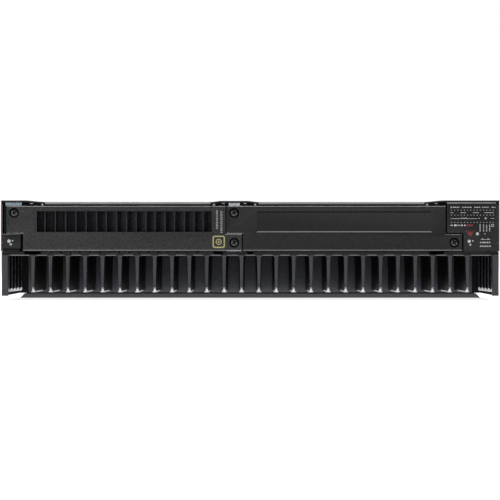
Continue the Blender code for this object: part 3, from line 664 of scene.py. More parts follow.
def pan_head(shape, at, seat, way, radius=3.1, height=0.55):
    """A low machine-screw head about a vertical line, with a hexagon socket ring."""
    top = seat + way * height
    profile = [(1.5, seat - way * 3), (1.5, seat), (radius, seat), (radius, seat + way * height * 0.5)]
    profile += [(radius - 0.35, seat + way * height * 0.9), (radius - 0.8, top)]
    profile += [(1.25, top), (1.1, top - way * 0.45)]
    shape.lathe(at, "z", profile, 24)


# ---------------------------------------------------------------- bay faces

def face_outline(shift):
    seam = 0.5
    outline = [(FACE_X[0], FACE_Z[1]), (FACE_X[0], FACE_STEP + seam), (LOWER_L, FACE_STEP + seam)]
    outline += [(LOWER_L, FACE_Z[0]), (FACE_X[1], FACE_Z[0]), (FACE_X[1], FACE_STEP)]
    outline += [(UPPER_R, FACE_STEP), (UPPER_R, FACE_Z[1])]
    return [(x + shift, z) for x, z in outline]


def screw_centre(node):
    x, _, z = mm_box(node)
    return (sum(x) / 2, sum(z) / 2)


def bay_face(name, shift, paint, cuts, nodes):
    """A stepped bay face with top and bottom edges in the lighter edge metal (edge wear and painted
    highlight), its cut-outs and its screw seats.
    """
    obj = Shape().prism(face_outline(shift), "y", *FACE_Y).make(name, paint, FACE_EDGE_HIGHLIGHT, WORN_HIGHLIGHT, SHADOW)
    settle(bevel(obj, 0.6, 3, EDGE))
    paint_by_normal(obj, PAINTED, lambda n, c: abs(n.z) < 0.2)
    # Painted highlight on the top and bottom front edges, in the lighter edge metal.
    paint_by_normal(obj, PAINTED_HIGHLIGHT, lambda n, c: n.y < -0.2 and (
        n.z > 0.2 and c.z > FACE_Z[1] - 1 or n.z < -0.2 and c.z < FACE_Z[0] + 1))
    seats, shaded_washers = Shape(), Shape()
    for node in nodes:
        profile = [(4.4, REAR - 1), (4.4, REAR + 1.8), (2.3, REAR + 1.8), (2.3, FACE_Y[1] + 1)]
        seats.lathe(screw_centre(node), "y", profile, 40)
        rim = raised(REAR, (3.7, 1.7), (3.75, 0.5), (4.0, 0.25), (4.35, 0.45), (4.35, 1.7))
        shaded_washers.lathe(screw_centre(node), "y", rim, 40)
    cut(obj, cuts, seats)
    bevel(obj, 0.12, 1, angle=50)
    return obj, shaded_washers


def captive_screw(node):
    """Domed cross-head screw whose cross recess takes the near-black as painted shade."""
    x, z = screw_centre(node)
    profile = raised(REAR, (0.9, 0.12), (1.9, 0.2), (2.7, 0.5), (3.3, 1.0), (3.55, 1.5),
                     (1.9, 1.55), (1.9, 14.0), (1.3, 14.8))
    obj = Shape().lathe((x, z), "y", profile, 40).make(f"{node}_head", SCREW, SHADOW)
    steps = []
    for turn in (math.radians(28), math.radians(118)):
        ends = []
        for along, across in ((-2.3, -0.5), (2.3, -0.5), (2.3, 0.5), (-2.3, 0.5)):
            ends.append((x + along * math.cos(turn) - across * math.sin(turn),
                         z + along * math.sin(turn) + across * math.cos(turn)))
        steps.append(Shape().prism(ends, "y", REAR - 1, REAR + 1.4))
    cut(obj, *steps)
    # Painted shade: the faces in the cross recess take the near-black.
    paint_by_normal(obj, 1, lambda n, c: (
        math.hypot(c.x - x, c.z - z) < 2.2 and REAR + 0.55 < c.y < REAR + 1.45))
    bevel(obj, 0.08, 1, angle=50)
    finish_piece(obj, "black_screw", node, body=node)


def fasten(obj, shaded_washers, body, node, screws):
    """Puts a bay face on its body, with its washer rings in the near-black as painted shade in the seats, and
    its captive screws.
    """
    finish_piece(obj, "face_paint", node, body=body)
    place(shaded_washers, obj.name.replace("front", "shaded_washers"), SHADOW, "black_plastic", body=body)
    for screw in screws:
        captive_screw(screw)


def supply_front():
    """Stepped face of the plug-in supply: vent window, short teeth below, and blades behind the window."""
    nodes = ("supply_screw_upper", "supply_screw_lower")
    window = Shape().box(WINDOW[:2], (REAR - 1, FACE_Y[1] + 1), WINDOW[2:])
    obj, shaded_washers = bay_face("supply_front", 0, FACE, window, nodes)
    fasten(obj, shaded_washers, "supply", "supply_face", nodes)
    lip = Shape()
    pitch, count, first, half = 8.5, 17, -175.0, 2.9
    for i in range(count):
        lip.box(centred(first + i * pitch, half), (REAR + 0.4, REAR + 3), (DECK_TOP + 0.25, FACE_Z[0] + 0.2))
    place(lip, "supply_lip_teeth", BLANK, "face_paint", body="supply")
    supply_blades()


def supply_blades():
    """Cooling blades behind the window, like louvres: each leans further out than the one at its left."""
    x, y, z = mm_box("supply_heatsink")
    draw = random.Random(5)
    pitch, first, front, base, nose, lean = 8.55, -183.2, REAR + 4.4, 9.0, 1.3, 3.7
    blades, edges = Shape().box(x, (front + base, y[1]), z), Shape()
    height, back = (z[0] + 0.2, z[1] - 0.2), front + base + 0.5
    for i in range(18):
        left = first + i * pitch
        right = min(left + min(2.1 + 0.56 * i, 5.8) + draw.uniform(-0.3, 0.3), x[1] - 0.1)
        plan = [(right - nose, front), (right, front), (right, back), (left, back), (left, front + lean)]
        blades.prism(plan, "z", *height)
        # Painted highlight: a strip of lighter metal along each blade's right edge.
        edges.prism([(right - 0.7, front - 0.1), (right + 0.02, front + 0.1), (right + 0.02, front + 1.4),
                     (right - 0.6, front + 0.8)], "z", *height)
    place(blades, "supply_blades", BLADES, "black_anodised", "supply_heatsink", body="supply")
    place(edges, "supply_blade_highlights", BLADE_HIGHLIGHT, "black_anodised", body="supply")


def blank_front():
    """Stepped blank cover with a shallow recess across its upper part."""
    nodes = ("bay_screw_upper", "bay_screw_lower")
    depth = 0.9
    outline = rectangle((RECESS[0] + depth, RECESS[1] - depth), (RECESS[2] + depth, RECESS[3] - depth))
    recess = Shape().prism(outline, "y", REAR + depth, REAR - depth, 2 * depth)
    obj, shaded_washers = bay_face("blank_front", BAY_SHIFT, BLANK, recess, nodes)
    left, right, low, high = RECESS
    # Painted highlight on the recess's lower edge and painted shade on its upper edge.
    paint_by_normal(obj, PAINTED_HIGHLIGHT, lambda n, c: n.z > 0.5 and left < c.x < right and c.z < low + 1)
    paint_by_normal(obj, PAINTED_SHADE, lambda n, c: n.z < -0.5 and left < c.x < right and abs(c.z - high) < 1)
    fasten(obj, shaded_washers, "bay_cover", "bay_cover", nodes)


# ---------------------------------------------------------------- printed marks

class Print:
    """Flat printed marks lying just proud of a face that looks along -Y or +Y."""

    def __init__(self, face_y, toward):
        sunk, proud = 0.02, 0.05
        self.shape = Shape()
        self.depth = sorted((face_y - sunk * toward, face_y + proud * toward))

    def outline(self, points):
        self.shape.prism(points, "y", *self.depth)

    def bar(self, x, z):
        self.outline(rectangle(x, z))

    def dot(self, x, z, radius, sides=20):
        self.outline(circle((x, z), radius, sides))

    def ring(self, outer, inner):
        """A closed frame between two outlines with the same number of points."""
        low, high = self.depth
        lines = ((outer, low), (outer, high), (inner, high), (inner, low))
        rings = self.shape.vertices([[(x, y, z) for x, z in line] for line, y in lines])
        self.shape.skin([], zip(rings, rings[1:] + rings[:1]))

    def dashes(self, draw, start, end, middle, height, longest, upright=False):
        """A row of plain dashes of uneven length, which stands for a line of small print."""
        at = start
        while at < end - 0.6:
            length = min(draw.uniform(0.5, longest), end - at)
            span, across = (at, at + length), centred(middle, height / 2)
            self.bar(*((across, span) if upright else (span, across)))
            at += length + draw.uniform(0.35, 0.7)

    def make(self, name, material, slot, body="chassis"):
        place(self.shape, name, material, slot, body=body)


def supply_marks():
    """Two upright rows of dashes and a plain yellow badge on the supply's face."""
    draw = random.Random(11)
    marks = Print(REAR, -1)
    marks.dashes(draw, 63.0, 79.4, -29.3, 1.5, 2.4, upright=True)
    marks.dashes(draw, 59.4, 79.4, -25.4, 1.8, 1.6, upright=True)
    marks.make("supply_marks_grey", GREY_INK, "face_paint", "supply")
    x, z, line = (-33.2, -22.3), (46.1, 57.0), 1.15
    badge = Print(REAR, -1)
    badge.ring(rounded(x, z, 2.0), rounded((x[0] + line, x[1] - line), (z[0] + line, z[1] - line), 1.0))
    middle = (sum(x) / 2, sum(z) / 2)
    badge.ring(*[circle(middle, radius, 16) for radius in (2.7, 1.9)])
    badge.dot(*middle, 0.9, 12)
    badge.make("supply_badge", YELLOW_INK, "face_paint", "supply")


def label_marks():
    """Rows of dots and dashes in the place of the printed legend on the corner block."""
    draw = random.Random(23)
    face = LABEL_Y[0]
    white = Print(face, -1)
    left, right = LABEL_X[0] + 3.2, LABEL_X[1] - 3.0
    pitch, columns = 2.84, 14
    xs = [LABEL_X[0] + 4.1 + i * pitch for i in range(columns)]
    bold = LABEL_Z[1] - 4.3
    for start, end in ((0, 9), (10.5, 20), (21.5, 27), (28.5, 35), (37, 40.5)):
        white.dashes(draw, left + start * 0.98, left + end * 0.98, bold, 0.8, 1.6)
    for row in (2.5, 6.9, 13.3):
        for x in xs:
            white.dot(x, bold - row, 0.36, 8)
    for start, end in ((0, 3), (10, 15.5), (22.5, 28.5), (34, 43.5)):
        white.bar((left + start * 0.88, left + end * 0.88), centred(bold - 4.7, 0.22))
    white.bar((left, left + 23.5), centred(bold - 10.0, 0.16))
    white.dashes(draw, left + 9.5, left + 14.5, bold - 9.6, 0.9, 0.9)
    for x, radius in ((25.2, 0.6), (31.0, 1.0)):
        white.dot(left + x, bold - 9.7, radius, 4)
    white.bar((left + 35.5, right), centred(bold - 9.8, 0.16))
    for start, end, height in ((0, 2.2, 0.8), (3.2, 5.4, 1.5), (6.2, 8.6, 0.7), (9.4, 10.8, 1.4),
                               (12.0, 13.4, 1.1)):
        white.bar((left + start, left + end), centred(bold - 15.9, height / 2))
    for x in (0, 3.1, 5.8, 8.5):
        white.dashes(draw, bold - 21.2, bold - 15.0, LABEL_X[0] + 29.3 + x, 0.85, 1.1, upright=True)
    corner = (LABEL_X[1] - 4.4, bold - 16.0)
    white.ring(*[rectangle(centred(corner[0], half), centred(corner[1], half)) for half in (1.1, 0.7)])
    for x, drop, radius, sides in ((27.0, 23.4, 1.35, 20), (33.7, 23.4, 0.6, 4), (19.8, 30.0, 1.4, 20),
                                   (22.9, 29.6, 0.6, 20), (20.8, 33.0, 0.8, 20)):
        white.dot(LABEL_X[0] + x, bold - drop, radius, sides)
    middle = LABEL_X[0] + 34.0
    white.bar(centred(middle, 4.2), centred(bold - 28.4, 0.16))
    for x in (-2.4, 2.4):
        white.dot(middle + x, bold - 27.8, 0.7, 3)
    for drop, half in ((31.0, 4.6), (34.3, 4.8)):
        white.dashes(draw, middle - half, middle + half, bold - drop, 1.15, 1.3)
    white.make("label_marks_white", WHITE_INK, "label_paint")
    red = Print(face, -1)
    x = LABEL_X[0] + 20.7
    red.dashes(draw, x - 3.2, x + 3.4, bold - 15.9, 1.9, 1.4)
    red.bar(centred(x, 4.6), centred(bold - 21.0, 0.2))
    top, tip = bold - 21.9, bold - 25.4
    red.outline([(x - 2.9, top), (x + 2.9, top), (x + 0.5, tip), (x - 0.5, tip)])
    red.make("label_marks_red", RED_INK, "label_paint")


def corner_blocks():
    """The stepped legend block at the right and the small block at the left, with top edges in the lighter
    edge metal (edge wear and painted highlight), over strips of the near-black that fill the gaps beneath
    them and along the sides, as painted shade.
    """
    seam = 2.4
    block = Shape().box(BLOCK_X, BLOCK_Y, (BLOCK_Z[0] + seam, BLOCK_Z[1]))
    left = block.make("corner_block", LABEL, LABEL, WORN_HIGHLIGHT)
    settle(bevel(left, 0.6, 3, EDGE))
    # Painted highlight on the top front edge, in the lighter edge metal.
    paint_by_normal(left, PAINTED_HIGHLIGHT, lambda n, c: n.z > 0.3 and n.y < -0.3)
    finish_piece(left, "label_paint", "corner_block_left")
    foot_z = (BLOCK_Z[0] + 0.1, BLOCK_Z[0] + 1.8)
    foot = Shape().box((BLOCK_X[0], BLOCK_X[1] - 1.2), (BLOCK_Y[0] + 0.8, BLOCK_Y[1]), foot_z)
    place(foot, "corner_block_foot", LABEL, "label_paint", edge=0.4)
    marks = Print(BLOCK_Y[0], -1)
    for x, z, radius in ((5.4, 9.1, 1.5), (6.9, 6.3, 1.0), (8.6, 9.4, 0.6)):
        marks.dot(BLOCK_X[0] + x, BLOCK_Z[0] + z, radius)
    marks.make("corner_marks", WHITE_INK, "label_paint")
    radius, step_x, step_z = 2.2, LABEL_X[0] + 14.5, FACE_STEP + 0.8
    x1, low, high = LABEL_X[1], LABEL_Z[0], LABEL_Z[1]
    outline = [(LABEL_X[0], step_z), (step_x, step_z), (step_x, low)]
    outline += arc((x1 - radius, low + radius), radius, 270, 360, 6)
    outline += arc((x1 - radius, high - radius), radius, 0, 90, 6) + [(LABEL_X[0], high)]
    block = Shape().prism(outline, "y", *LABEL_Y).make("label_plate", LABEL, LABEL, WORN_HIGHLIGHT)
    settle(bevel(block, 0.9, 3, EDGE))
    # Painted highlight on the top front edge, in the lighter edge metal.
    paint_by_normal(block, PAINTED_HIGHLIGHT, lambda n, c: n.z > 0.15 and n.y < -0.15 and c.z > high - 1)
    finish_piece(block, "label_paint", "label_block")
    shadow_fill, z = Shape(), (DECK_TOP - 0.05, LABEL_Z[0] + 0.15)
    for x in (BLOCK_X, (step_x + 0.4, x1 - 0.6), (BLOCK_X[1] + 1.0, LABEL_X[0] - 1.0)):
        shadow_fill.box((x[0] + 0.3, x[1] - 0.3), (REAR + 1.4, REAR + 3.4), z)
    for side in (-1, 1):
        shadow_fill.box(side_span(side, 218.9, 215.0), (REAR + 3.4, WALL_Y[1]), z)
    place(shadow_fill, "deck_shadow_fill", SHADOW, "black_plastic")
    label_marks()


# ---------------------------------------------------------------- shell

def cover_ring(y, lift):
    """One cross-section of the cover sheet, raised by lift over its three bosses."""
    low, mid = lift, lift * 0.7
    path = [(COVER_X[0], low), (-198.8, low), (-196.5, low * 0.93), (-183.5, low * 0.07), (-181.2, 0)]
    path += [(-34.8, 0), (-33.0, mid * 0.1), (-27.5, mid * 0.9), (-25.7, mid), (-2.6, mid)]
    path += [(-0.8, mid * 0.9), (5.3, mid * 0.1), (7.1, 0), (153.9, 0), (156.0, low * 0.07)]
    path += [(168.5, low * 0.93), (170.6, low), (COVER_X[1], low)]
    top = [(x, y, COVER_TOP + z) for x, z in path]
    bottom = [(x, y, COVER_LOW + z * 0.95) for x, z in path]
    return top[::-1] + bottom


def cover():
    """Top cover sheet with front edges in the lighter edge metal (edge wear and painted highlight),
    turned-down returns and screws.
    """
    lift, start = COVER_Z[1] - COVER_TOP, REAR + BOSS_DEPTH
    rings = [(REAR + 0.35, lift), (start - 4, lift), (start - 3, lift * 0.93), (start - 1, lift * 0.5)]
    rings += [(start + 1, lift * 0.07), (start + 2, 0), (FRONT, 0)]
    obj = Shape().loft([cover_ring(y, rise) for y, rise in rings]).make("cover_sheet", SHELL)
    finish_piece(bevel(obj, 0.3, angle=40), "cover_sheet", "top_cover")
    edges, returns = Shape(), Shape()
    for left, right in ((-181.0, -35.0), (7.3, 153.7)):
        edges.box((left, right), (REAR, REAR + 1.2), (COVER_LOW - 0.15, COVER_TOP - 0.25))
        returns.box((left, right), (REAR + 1.3, REAR + 2.3), (FACE_Z[1] + 0.5, COVER_LOW + 0.3))
    place(edges, "cover_edges", WORN_HIGHLIGHT, "cover_sheet", edge=0.25)
    place(returns, "cover_returns", FACE, "cover_sheet", edge=0.25)
    screws = Shape()
    for at in [(side * 212.5, y) for side in (-1, 1) for y in (-100.0, 0.0, 100.0, 152.0)]:
        pan_head(screws, at, COVER_TOP + 0.05, 1, 3.3, 1.2)
    place(screws, "cover_screws", SCREW, "black_screw")
    cover_supports()


def cover_supports():
    """Pieces of the near-black under the raised places as painted shade, with rivets at their feet, and a
    strip of the same painted shade that closes the sides.
    """
    gap_shade, rivets = Shape(), Shape()
    low, high = FACE_Z[1] + 0.6, COVER_LOW + 0.4
    for left, right in ((-200.8, -181.6), (-34.4, -19.6), (-8.6, 6.8), (154.4, 173.0)):
        gap_shade.box((left, right), (REAR + 1.2, REAR + 2.6), (low, high))
    for side in (-1, 1):
        edge = side_span(side, 219.7, 216.9)
        gap_shade.box(edge, (REAR + 0.25, REAR + 34), (WALL_Z[1] - 0.6, COVER_LOW + 1.35))
        gap_shade.box(edge, (REAR + 16, WALL_Y[1]), (WALL_Z[1] + 0.02, COVER_LOW + 0.1))
    place(gap_shade, "cover_gap_shade", SHADOW, "black_plastic", edge=0.2)
    for x in (-183.4, -32.0, 4.4, 156.2):
        rivets.lathe((x, low + 0.7), "y", raised(REAR, (0.5, 0.5), (0.9, 0.75), (0.9, 1.6)), 16)
    for x in (-193.0, -23.6, -4.6, 164.0):
        rivets.box(centred(x, 1.3), (REAR + 0.7, REAR + 1.6), (high - 0.5, high + 0.1))
    place(rivets, "cover_rivets", ZINC, "zinc")


def side_walls():
    """Folded side sheets with a row of flush screws."""
    outer, sheet = WALL_X[1], 1.5
    z0, z1 = WALL_Z
    outline = [(outer, z0), (outer, z1), (WALL_X[0], z1), (WALL_X[0], z1 - sheet)]
    outline += [(outer - sheet, z1 - sheet), (outer - sheet, z0)]
    seat = raised(outer, (3.4, 1), (3.4, -0.6), (1.8, -0.7), (1.8, -3))
    head = raised(outer, (1.75, -1.4), (3.1, -0.62), (3.2, -0.3), (2.9, -0.1), (1.3, -0.06), (1.15, -0.5))
    for side, flip in SIDES:
        profile = flipped(outline, flip)
        obj = Shape().prism(profile, "y", REAR + 15.0, WALL_Y[1]).make(f"side_sheet_{side}", SHELL, FACE_EDGE_HIGHLIGHT)
        seats, screws = Shape(), Shape()
        for y in (-132.0, -66.0, 0.0, 66.0, 132.0):
            for z in (50.0, 77.0) if y in (-132.0, 132.0) else (63.5,):
                seats.lathe((y, z), "x", [(r, flip * x) for r, x in seat], 28)
                screws.lathe((y, z), "x", [(r, flip * x) for r, x in head], 28)
        cut(obj, seats)
        finish_piece(bevel(obj, 0.3, 2, EDGE), "painted_sheet", f"side_wall_{side}")
        place(screws, f"side_screws_{side}", SCREW, "black_screw")
        edges = side_span(flip, outer, outer - sheet)
        tongue = Shape().box(edges, (WALL_Y[0], REAR + 15.4), (z0 + 0.01, z1 - 0.01))
        obj = tongue.make(f"side_tongue_{side}", SHELL, FACE_EDGE_HIGHLIGHT)
        finish_piece(bevel(obj, 0.3, 2, EDGE), "painted_sheet")


def edge_strip():
    """Zinc strip between the supply's face and the side sheet, darkened as painted shade in the gap."""
    x, y, z = (FACE_X[0] - 1.7, FACE_X[0] - 0.9), (REAR + 1.5, REAR + 13), (BLOCK_Z[1] + 0.4, FACE_Z[1])
    place(Shape().box(x, y, z), "bay_edge_shaded_strip", SHADED_STRIP, "bright_steel", edge=0.2)


# ---------------------------------------------------------------- connector panel

def panel():
    """Flat connector panel with its openings, corner screws and printed marks."""
    obj = Shape().box(PANEL_X, PANEL_Y, PANEL_Z).make("connector_panel", PANEL, FACE_EDGE_HIGHLIGHT)
    y = (PANEL_Y[0] - 1, FRONT + 1)
    holes = Shape()
    fitted = ("input_plug_1", "input_plug_2", "output_plug_1", "output_plug_2", "power_plug_1")
    for node in fitted + ("network_jack_1", "network_jack_2"):
        x, _, z = mm_box(node)
        holes.box((x[0] - 0.5, x[1] + 0.5), y, (z[0] - 0.5, z[1] + 0.5))
    rounds = [((x, KNOB_Z), 3.4) for x in KNOB_X] + [((x, LAMP_Z), 1.75) for x in LAMP_X]
    for at, radius in rounds + [(BUTTON_AT, 4.3), (STUD_AT, 2.9)]:
        holes.lathe(at, "y", [(radius, y[0]), (radius, y[1])], 32)
    cut(obj, holes)
    finish_piece(bevel(obj, 0.4, 2, EDGE), "panel_paint", "front_panel")
    screws = Shape()
    low, high = PANEL_Z[0] + 6, PANEL_Z[1] - 6
    profile = raised(FRONT, (3.2, -0.5), (3.2, 0.3), (2.7, 0.75), (1.3, 0.8), (1.2, 0.25))
    for at in ((-208.0, low), (-208.0, high), (0.0, low), (54.0, high), (208.0, low), (208.0, high)):
        screws.lathe(at, "y", profile, 24)
    place(screws, "panel_screws", SCREW, "black_screw")
    panel_marks(fitted)


def panel_marks(fitted):
    """Plain tick marks round the knobs and dashes beside the connectors."""
    draw = random.Random(7)
    marks = Print(FRONT, 1)
    ticks, sweep, near, far = 11, 150.0, KNOB_R + 1.6, KNOB_R + 3.2
    for x in KNOB_X:
        for i in range(ticks):
            angle = math.radians(90 - sweep + 2 * sweep * i / (ticks - 1))
            across = Vector((-math.sin(angle), math.cos(angle))) * 0.22
            ends = [Vector((math.cos(angle), math.sin(angle))) * r for r in (near, far)]
            corners = [ends[0] - across, ends[1] - across, ends[1] + across, ends[0] + across]
            marks.outline([(x + c.x, KNOB_Z + c.y) for c in corners])
    for node in fitted:
        x, _, z = mm_box(node)
        marks.dashes(draw, x[0] + 2, x[1] - 2, z[1] + 3.4, 1.3, 3.0)
        marks.bar((x[0], x[1]), centred(z[1] + 1.7, 0.15))
    for node in ("network_jack_1", "network_jack_2"):
        x, _, z = mm_box(node)
        marks.dashes(draw, x[0] + 1, x[1] - 1, z[0] - 3.0, 1.3, 2.2)
    for x in LAMP_X:
        marks.bar(centred(x, 2.0), centred(LAMP_Z + 3.4, 0.5))
    marks.dashes(draw, BUTTON_AT[0] - 5, BUTTON_AT[0] + 5, BUTTON_AT[1] - 7.5, 1.3, 2.4)
    marks.bar(centred(STUD_AT[0], 4.0), centred(STUD_AT[1] + 8.6, 0.5))
    marks.make("panel_marks", WHITE_INK, "panel_paint")


def knob(index, x):
    """Fluted level knob with a white pointer line."""
    flutes, sides, node = 18, 144, f"level_knob_{index}"
    y = mm_box(node)[1]

    def ring(radius, level, fluted):
        points = []
        for i in range(sides):
            angle = 2 * math.pi * i / sides
            r = radius - fluted * (0.5 - 0.5 * math.cos(flutes * angle)) ** 2
            points.append((x + r * math.cos(angle), level, KNOB_Z + r * math.sin(angle)))
        return points

    base, top = FRONT + 0.6, y[1]
    levels = [(3.0, y[0], 0), (3.0, base, 0), (8.1, base, 0), (KNOB_R, base + 0.4, 0)]
    levels += [(KNOB_R, base + 2.0, 0), (7.9, base + 2.5, 0), (7.5, base + 2.9, 0.55)]
    levels += [(6.9, top - 1.2, 0.5), (6.5, top - 0.4, 0.35), (6.0, top, 0.1), (5.2, top - 0.25, 0)]
    obj = Shape().loft([ring(*level) for level in levels]).make(f"{node}_cap", KNOB_PLASTIC)
    finish_piece(obj, "knob_plastic", node, body=node)
    pointer = Shape().box(centred(x, 0.45), (top - 0.5, top - 0.16), (KNOB_Z + 0.8, KNOB_Z + 5.3))
    pointer.prism([(top - 0.6, KNOB_Z + 5.0), (top - 0.05, KNOB_Z + 6.1), (base + 3.0, KNOB_Z + 7.62),
                   (base + 3.0, KNOB_Z + 7.0)], "x", *centred(x, 0.45))
    place(pointer, f"{node}_pointer", WHITE_INK, "knob_plastic", body=node)


def plug(node, poles):
    """Screw-terminal plug: stepped block, wire entries with clamps, and slotted screws on top."""
    x, y, z = mm_box(node)
    pitch = (x[1] - x[0]) / poles
    chin, brow = z[0] + 0.6, z[1] - 3.2
    side = [(y[0], z[0] + 1), (y[0], z[1] - 1), (FRONT + 2.5, z[1] - 1), (FRONT + 3.2, z[1])]
    side += [(y[1] - 3.5, z[1]), (y[1], brow), (y[1], chin), (y[1] - 0.8, z[0]), (FRONT + 2, z[0])]
    side.append((FRONT + 1.4, z[0] + 1))
    obj = Shape().prism(side, "x", *x).make(f"{node}_block", PLUG_PLASTIC)
    entry, screw_r = min(pitch * 0.32, 2.4), min(pitch * 0.3, 2.3)
    bores, screws, clamps, slots = Shape(), Shape(), Shape(), Shape()
    screw_y = FRONT + 7.5
    for k in range(poles):
        px = x[0] + pitch * (k + 0.5)
        opening = rectangle(centred(px, entry), (z[0] + 1.6, z[1] - 5.0))
        bores.prism(opening, "y", FRONT + 5, FRONT + 15, 0.35)
        bores.lathe((px, screw_y), "z", [(screw_r, z[1] - 3), (screw_r, z[1] + 1)], 24)
        head = z[1] - 1.1
        screws.lathe((px, screw_y), "z", [(screw_r - 0.25, z[1] - 3.6), (screw_r - 0.25, head)], 24)
        slots.box(centred(px, 3), centred(screw_y, 0.3), (z[1] - 1.8, z[1]))
        clamps.box(centred(px, entry - 0.3), (FRONT + 5.2, FRONT + 9.5), (z[0] + 1.9, z[0] + 2.7))
        if k:
            groove = x[0] + pitch * k
            bores.box(centred(groove, 0.15), (FRONT + 3.4, y[1] + 1), (z[1] - 0.5, z[1] + 1))
    cut(obj, bores)
    finish_piece(bevel(obj, 0.2, angle=40), "plug_plastic", node, body=node)
    head_obj = screws.make(f"{node}_screws", ZINC)
    cut(head_obj, slots)
    finish_piece(head_obj, "zinc", body=node)
    place(clamps, f"{node}_clamps", ZINC, "zinc", body=node)


def jack(index, x):
    """Shielded network jack with its contacts and two small lamps."""
    node = f"network_jack_{index}"
    xs, ys, zs = mm_box(node)
    obj = Shape().box(xs, ys, zs).make(f"{node}_shell", ZINC)
    port = Shape().box(centred(x, 5.9), (FRONT - 12, FRONT + 2), (JACK_Z - 4.2, JACK_Z + 2.6))
    latch = Shape().box(centred(x, 3.2), (FRONT - 12, FRONT + 2), (JACK_Z + 2.0, JACK_Z + 4.4))
    cut(obj, port, latch)
    finish_piece(bevel(obj, 0.2, 2), "bright_steel", node)
    liner = Shape().box(centred(x, 5.8), (FRONT - 11.9, FRONT - 11.2), (JACK_Z - 4.1, JACK_Z + 4.3))
    place(liner, f"{node}_liner", BLACK_PLASTIC, "black_plastic")
    pins = Shape()
    for k in range(8):
        px = x + (k - 3.5) * 1.02
        pins.prism([(FRONT - 11, JACK_Z - 3.6), (FRONT - 2.5, JACK_Z - 3.6), (FRONT - 2.5, JACK_Z - 3.3),
                    (FRONT - 10, JACK_Z - 0.6), (FRONT - 11, JACK_Z - 0.6)], "x", *centred(px, 0.22))
    place(pins, f"{node}_pins", GOLD, "bright_steel")
    lamps = Shape()
    for side in (-1, 1):
        lamps.box(centred(x + side * 5.2, 1.5), (ys[1] - 0.3, ys[1] + 0.04), (JACK_Z + 4.6, JACK_Z + 6.2))
    place(lamps, f"{node}_lamps", LAMP_OFF, "lamp")


def stud():
    """Threaded ground stud with a washer and a chamfered nut."""
    shaft = [(4.6, 158.6), (4.6, 161.6)]
    level, pitch = 161.6, 0.8
    while level < 179.4:
        shaft += [(2.2, level), (2.5, level + pitch / 2)]
        level += pitch
    thread = Shape().lathe(STUD_AT, "y", shaft + [(2.1, 180.0), (1.8, 180.6)], 24)
    place(thread, "ground_stud_thread", ZINC, "bright_steel", "ground_stud")
    washer = Shape().lathe(STUD_AT, "y", raised(FRONT, (5.1, 0.05), (5.1, 0.7)), 40)
    place(washer, "ground_washer", BRIGHT, "bright_steel", edge=0.15)
    nut = Shape().lathe(STUD_AT, "y", raised(FRONT, (4.7, 0.7), (5.2, 1.1), (5.2, 3.9), (4.7, 4.3)), 6)
    place(nut, "ground_nut", BRIGHT, "bright_steel", edge=0.2)


def lamps():
    """Domed ends of the light pipes: three lit, the others clear."""
    lit, clear = Shape(), Shape()
    for i, x in enumerate(LAMP_X):
        dome = raised(FRONT, (1.5, -3), (1.5, 0.1), (1.3, 0.4), (0.7, 0.58))
        (lit if i in (0, 1, 6) else clear).lathe((x, LAMP_Z), "y", dome, 20)
    place(lit, "status_lamps_lit", LAMP_ON, "lamp")
    bar = clear.box((LAMP_X[0] - 3, LAMP_X[-1] + 3), (156, 159), centred(LAMP_Z, 1.2))
    place(bar, "status_lamps_clear", LAMP_OFF, "lamp", "light_pipes")


def button():
    """Round cap of the reset button, hollowed at its end, on a wider flange."""
    end = mm_box("reset_button")[1][1]
    profile = [(5.2, 158.0), (5.2, 160.5), (4.0, 160.5)]
    profile += raised(end, (4.0, -0.6), (3.8, -0.15), (3.3, 0.0), (2.4, -0.25), (1.0, -0.35))
    cap, node = Shape().lathe(BUTTON_AT, "y", profile, 40), "reset_button"
    place(cap, "reset_button_cap", KNOB_PLASTIC, "black_plastic", node, body=node)


# ---------------------------------------------------------------- pieces kept from the frame

def keep_inside_pieces():
    """Finishes for the frame's own pieces, rounded at the edges where they show."""
    modules, inductors = ([f"output_{kind}_{i}" for i in range(1, 5)] for kind in ("module", "inductor"))
    for material, nodes in (
            (CAST, ["core_tray"]), (ALUMINIUM, ["heat_spreader"]), (DULL, ["bay_post_left"]),
            (BRIGHT, ["bay_post_centre"]), (SHELL, ["bay_post_right"]),
            (ZINC, ["guide_plate", "supply_case", "supply_lid"]),
            (BOARD, ["backplane", "amplifier_board", "signal_board", "supply_board"]),
            (COPPER, ["supply_transformer"] + inductors), (BLACK_PLASTIC, ["supply_connector"] + modules),
            (SLEEVE, ["bulk_capacitor_1", "bulk_capacitor_2"]),
            (PLUG_PLASTIC, ["input_header", "output_header", "power_header"])):
        for node in nodes:
            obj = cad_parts[node]
            obj.data.materials.clear()
            obj.data.materials.append(material)
            bevel(obj, 0.2)


# ---------------------------------------------------------------- studio

def area_light(name, at, target, size, energy, colour=(1.0, 1.0, 1.0)):
    """A soft box in metres, aimed at a point."""
    data = bpy.data.lights.new(name, "AREA")
    data.shape = "RECTANGLE"
    data.size, data.size_y = size
    data.energy = energy
    data.color = colour
    light = bpy.data.objects.new(name, data)
    light.location = at
    light.rotation_euler = (Vector(target) - Vector(at)).to_track_quat("-Z", "Y").to_euler()
    bpy.context.scene.collection.objects.link(light)


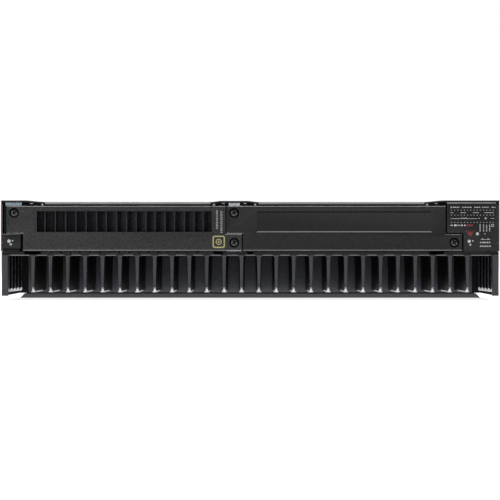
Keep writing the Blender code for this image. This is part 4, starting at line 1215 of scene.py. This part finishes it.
def studio():
    """A white tent over a light table: even light from all round, with a brighter box overhead."""
    scene = bpy.context.scene
    scene.view_settings.view_transform = "Standard"
    floor = Shape().box((-4000, 4000), (-4000, 4000), (-20, -0.05))
    paint = Paint("floor_acrylic")
    paint.colour(paint.mix(paint.spread(paint.noise(3.0), 0.0, 1.0), (0.34, 0.34, 0.34), (0.36, 0.36, 0.36)))
    paint.shader.inputs["Roughness"].default_value = 0.9
    paint.shader.inputs["Emission Color"].default_value = (1.0, 1.0, 1.0, 1.0)
    paint.shader.inputs["Emission Strength"].default_value = 0.82
    floor.make("floor", paint.material)
    world = bpy.data.worlds.new("studio")
    world.use_nodes = True
    scene.world = world
    tree = world.node_tree
    background = tree.nodes["Background"]
    path = tree.nodes.new("ShaderNodeLightPath")
    level = tree.nodes.new("ShaderNodeMapRange")
    level.inputs["To Min"].default_value = 0.45
    level.inputs["To Max"].default_value = 1.0
    tree.links.new(path.outputs["Is Camera Ray"], level.inputs["Value"])
    tree.links.new(level.outputs["Result"], background.inputs["Strength"])
    background.inputs["Color"].default_value = (1.0, 1.0, 1.0, 1.0)
    area_light("overhead_box", (0.0, 0.1, 1.3), (0.0, 0.0, 0.0), (1.8, 1.4), 34.0)
    area_light("key_box", (-1.5, -1.9, 0.7), (0.0, 0.0, 0.03), (1.2, 1.0), 7.0)
    area_light("back_box", (0.9, 1.7, 0.9), (0.0, 0.0, 0.05), (1.2, 1.0), 16.0)


def camera():
    """Level view square to the bay faces, at the height of their middle."""
    distance, height, across = 1.32, 0.04435, 0.441
    data = bpy.data.cameras.new("view")
    data.sensor_width = 36.0
    data.lens = data.sensor_width * distance / across
    data.clip_end = 20.0
    obj = bpy.data.objects.new("view", data)
    obj.location = (-0.0002, REAR * MM - distance, height)
    obj.rotation_euler = (math.pi / 2, 0.0, 0.0)
    bpy.context.scene.collection.objects.link(obj)
    bpy.context.scene.camera = obj


heatsinks()
fin_feet()
channel_lips()
core_face()
skirts()
pan()
supply_front()
supply_marks()
blank_front()
corner_blocks()
cover()
side_walls()
edge_strip()
panel()
for number, knob_x in enumerate(KNOB_X, 1):
    knob(number, knob_x)
for plug_node, pole_count in (("input_plug_1", 6), ("input_plug_2", 6), ("output_plug_1", 4),
                              ("output_plug_2", 4), ("power_plug_1", 6)):
    plug(plug_node, pole_count)
for number, jack_x in enumerate(JACK_X, 1):
    jack(number, jack_x)
stud()
lamps()
button()
keep_inside_pieces()
studio()
camera()
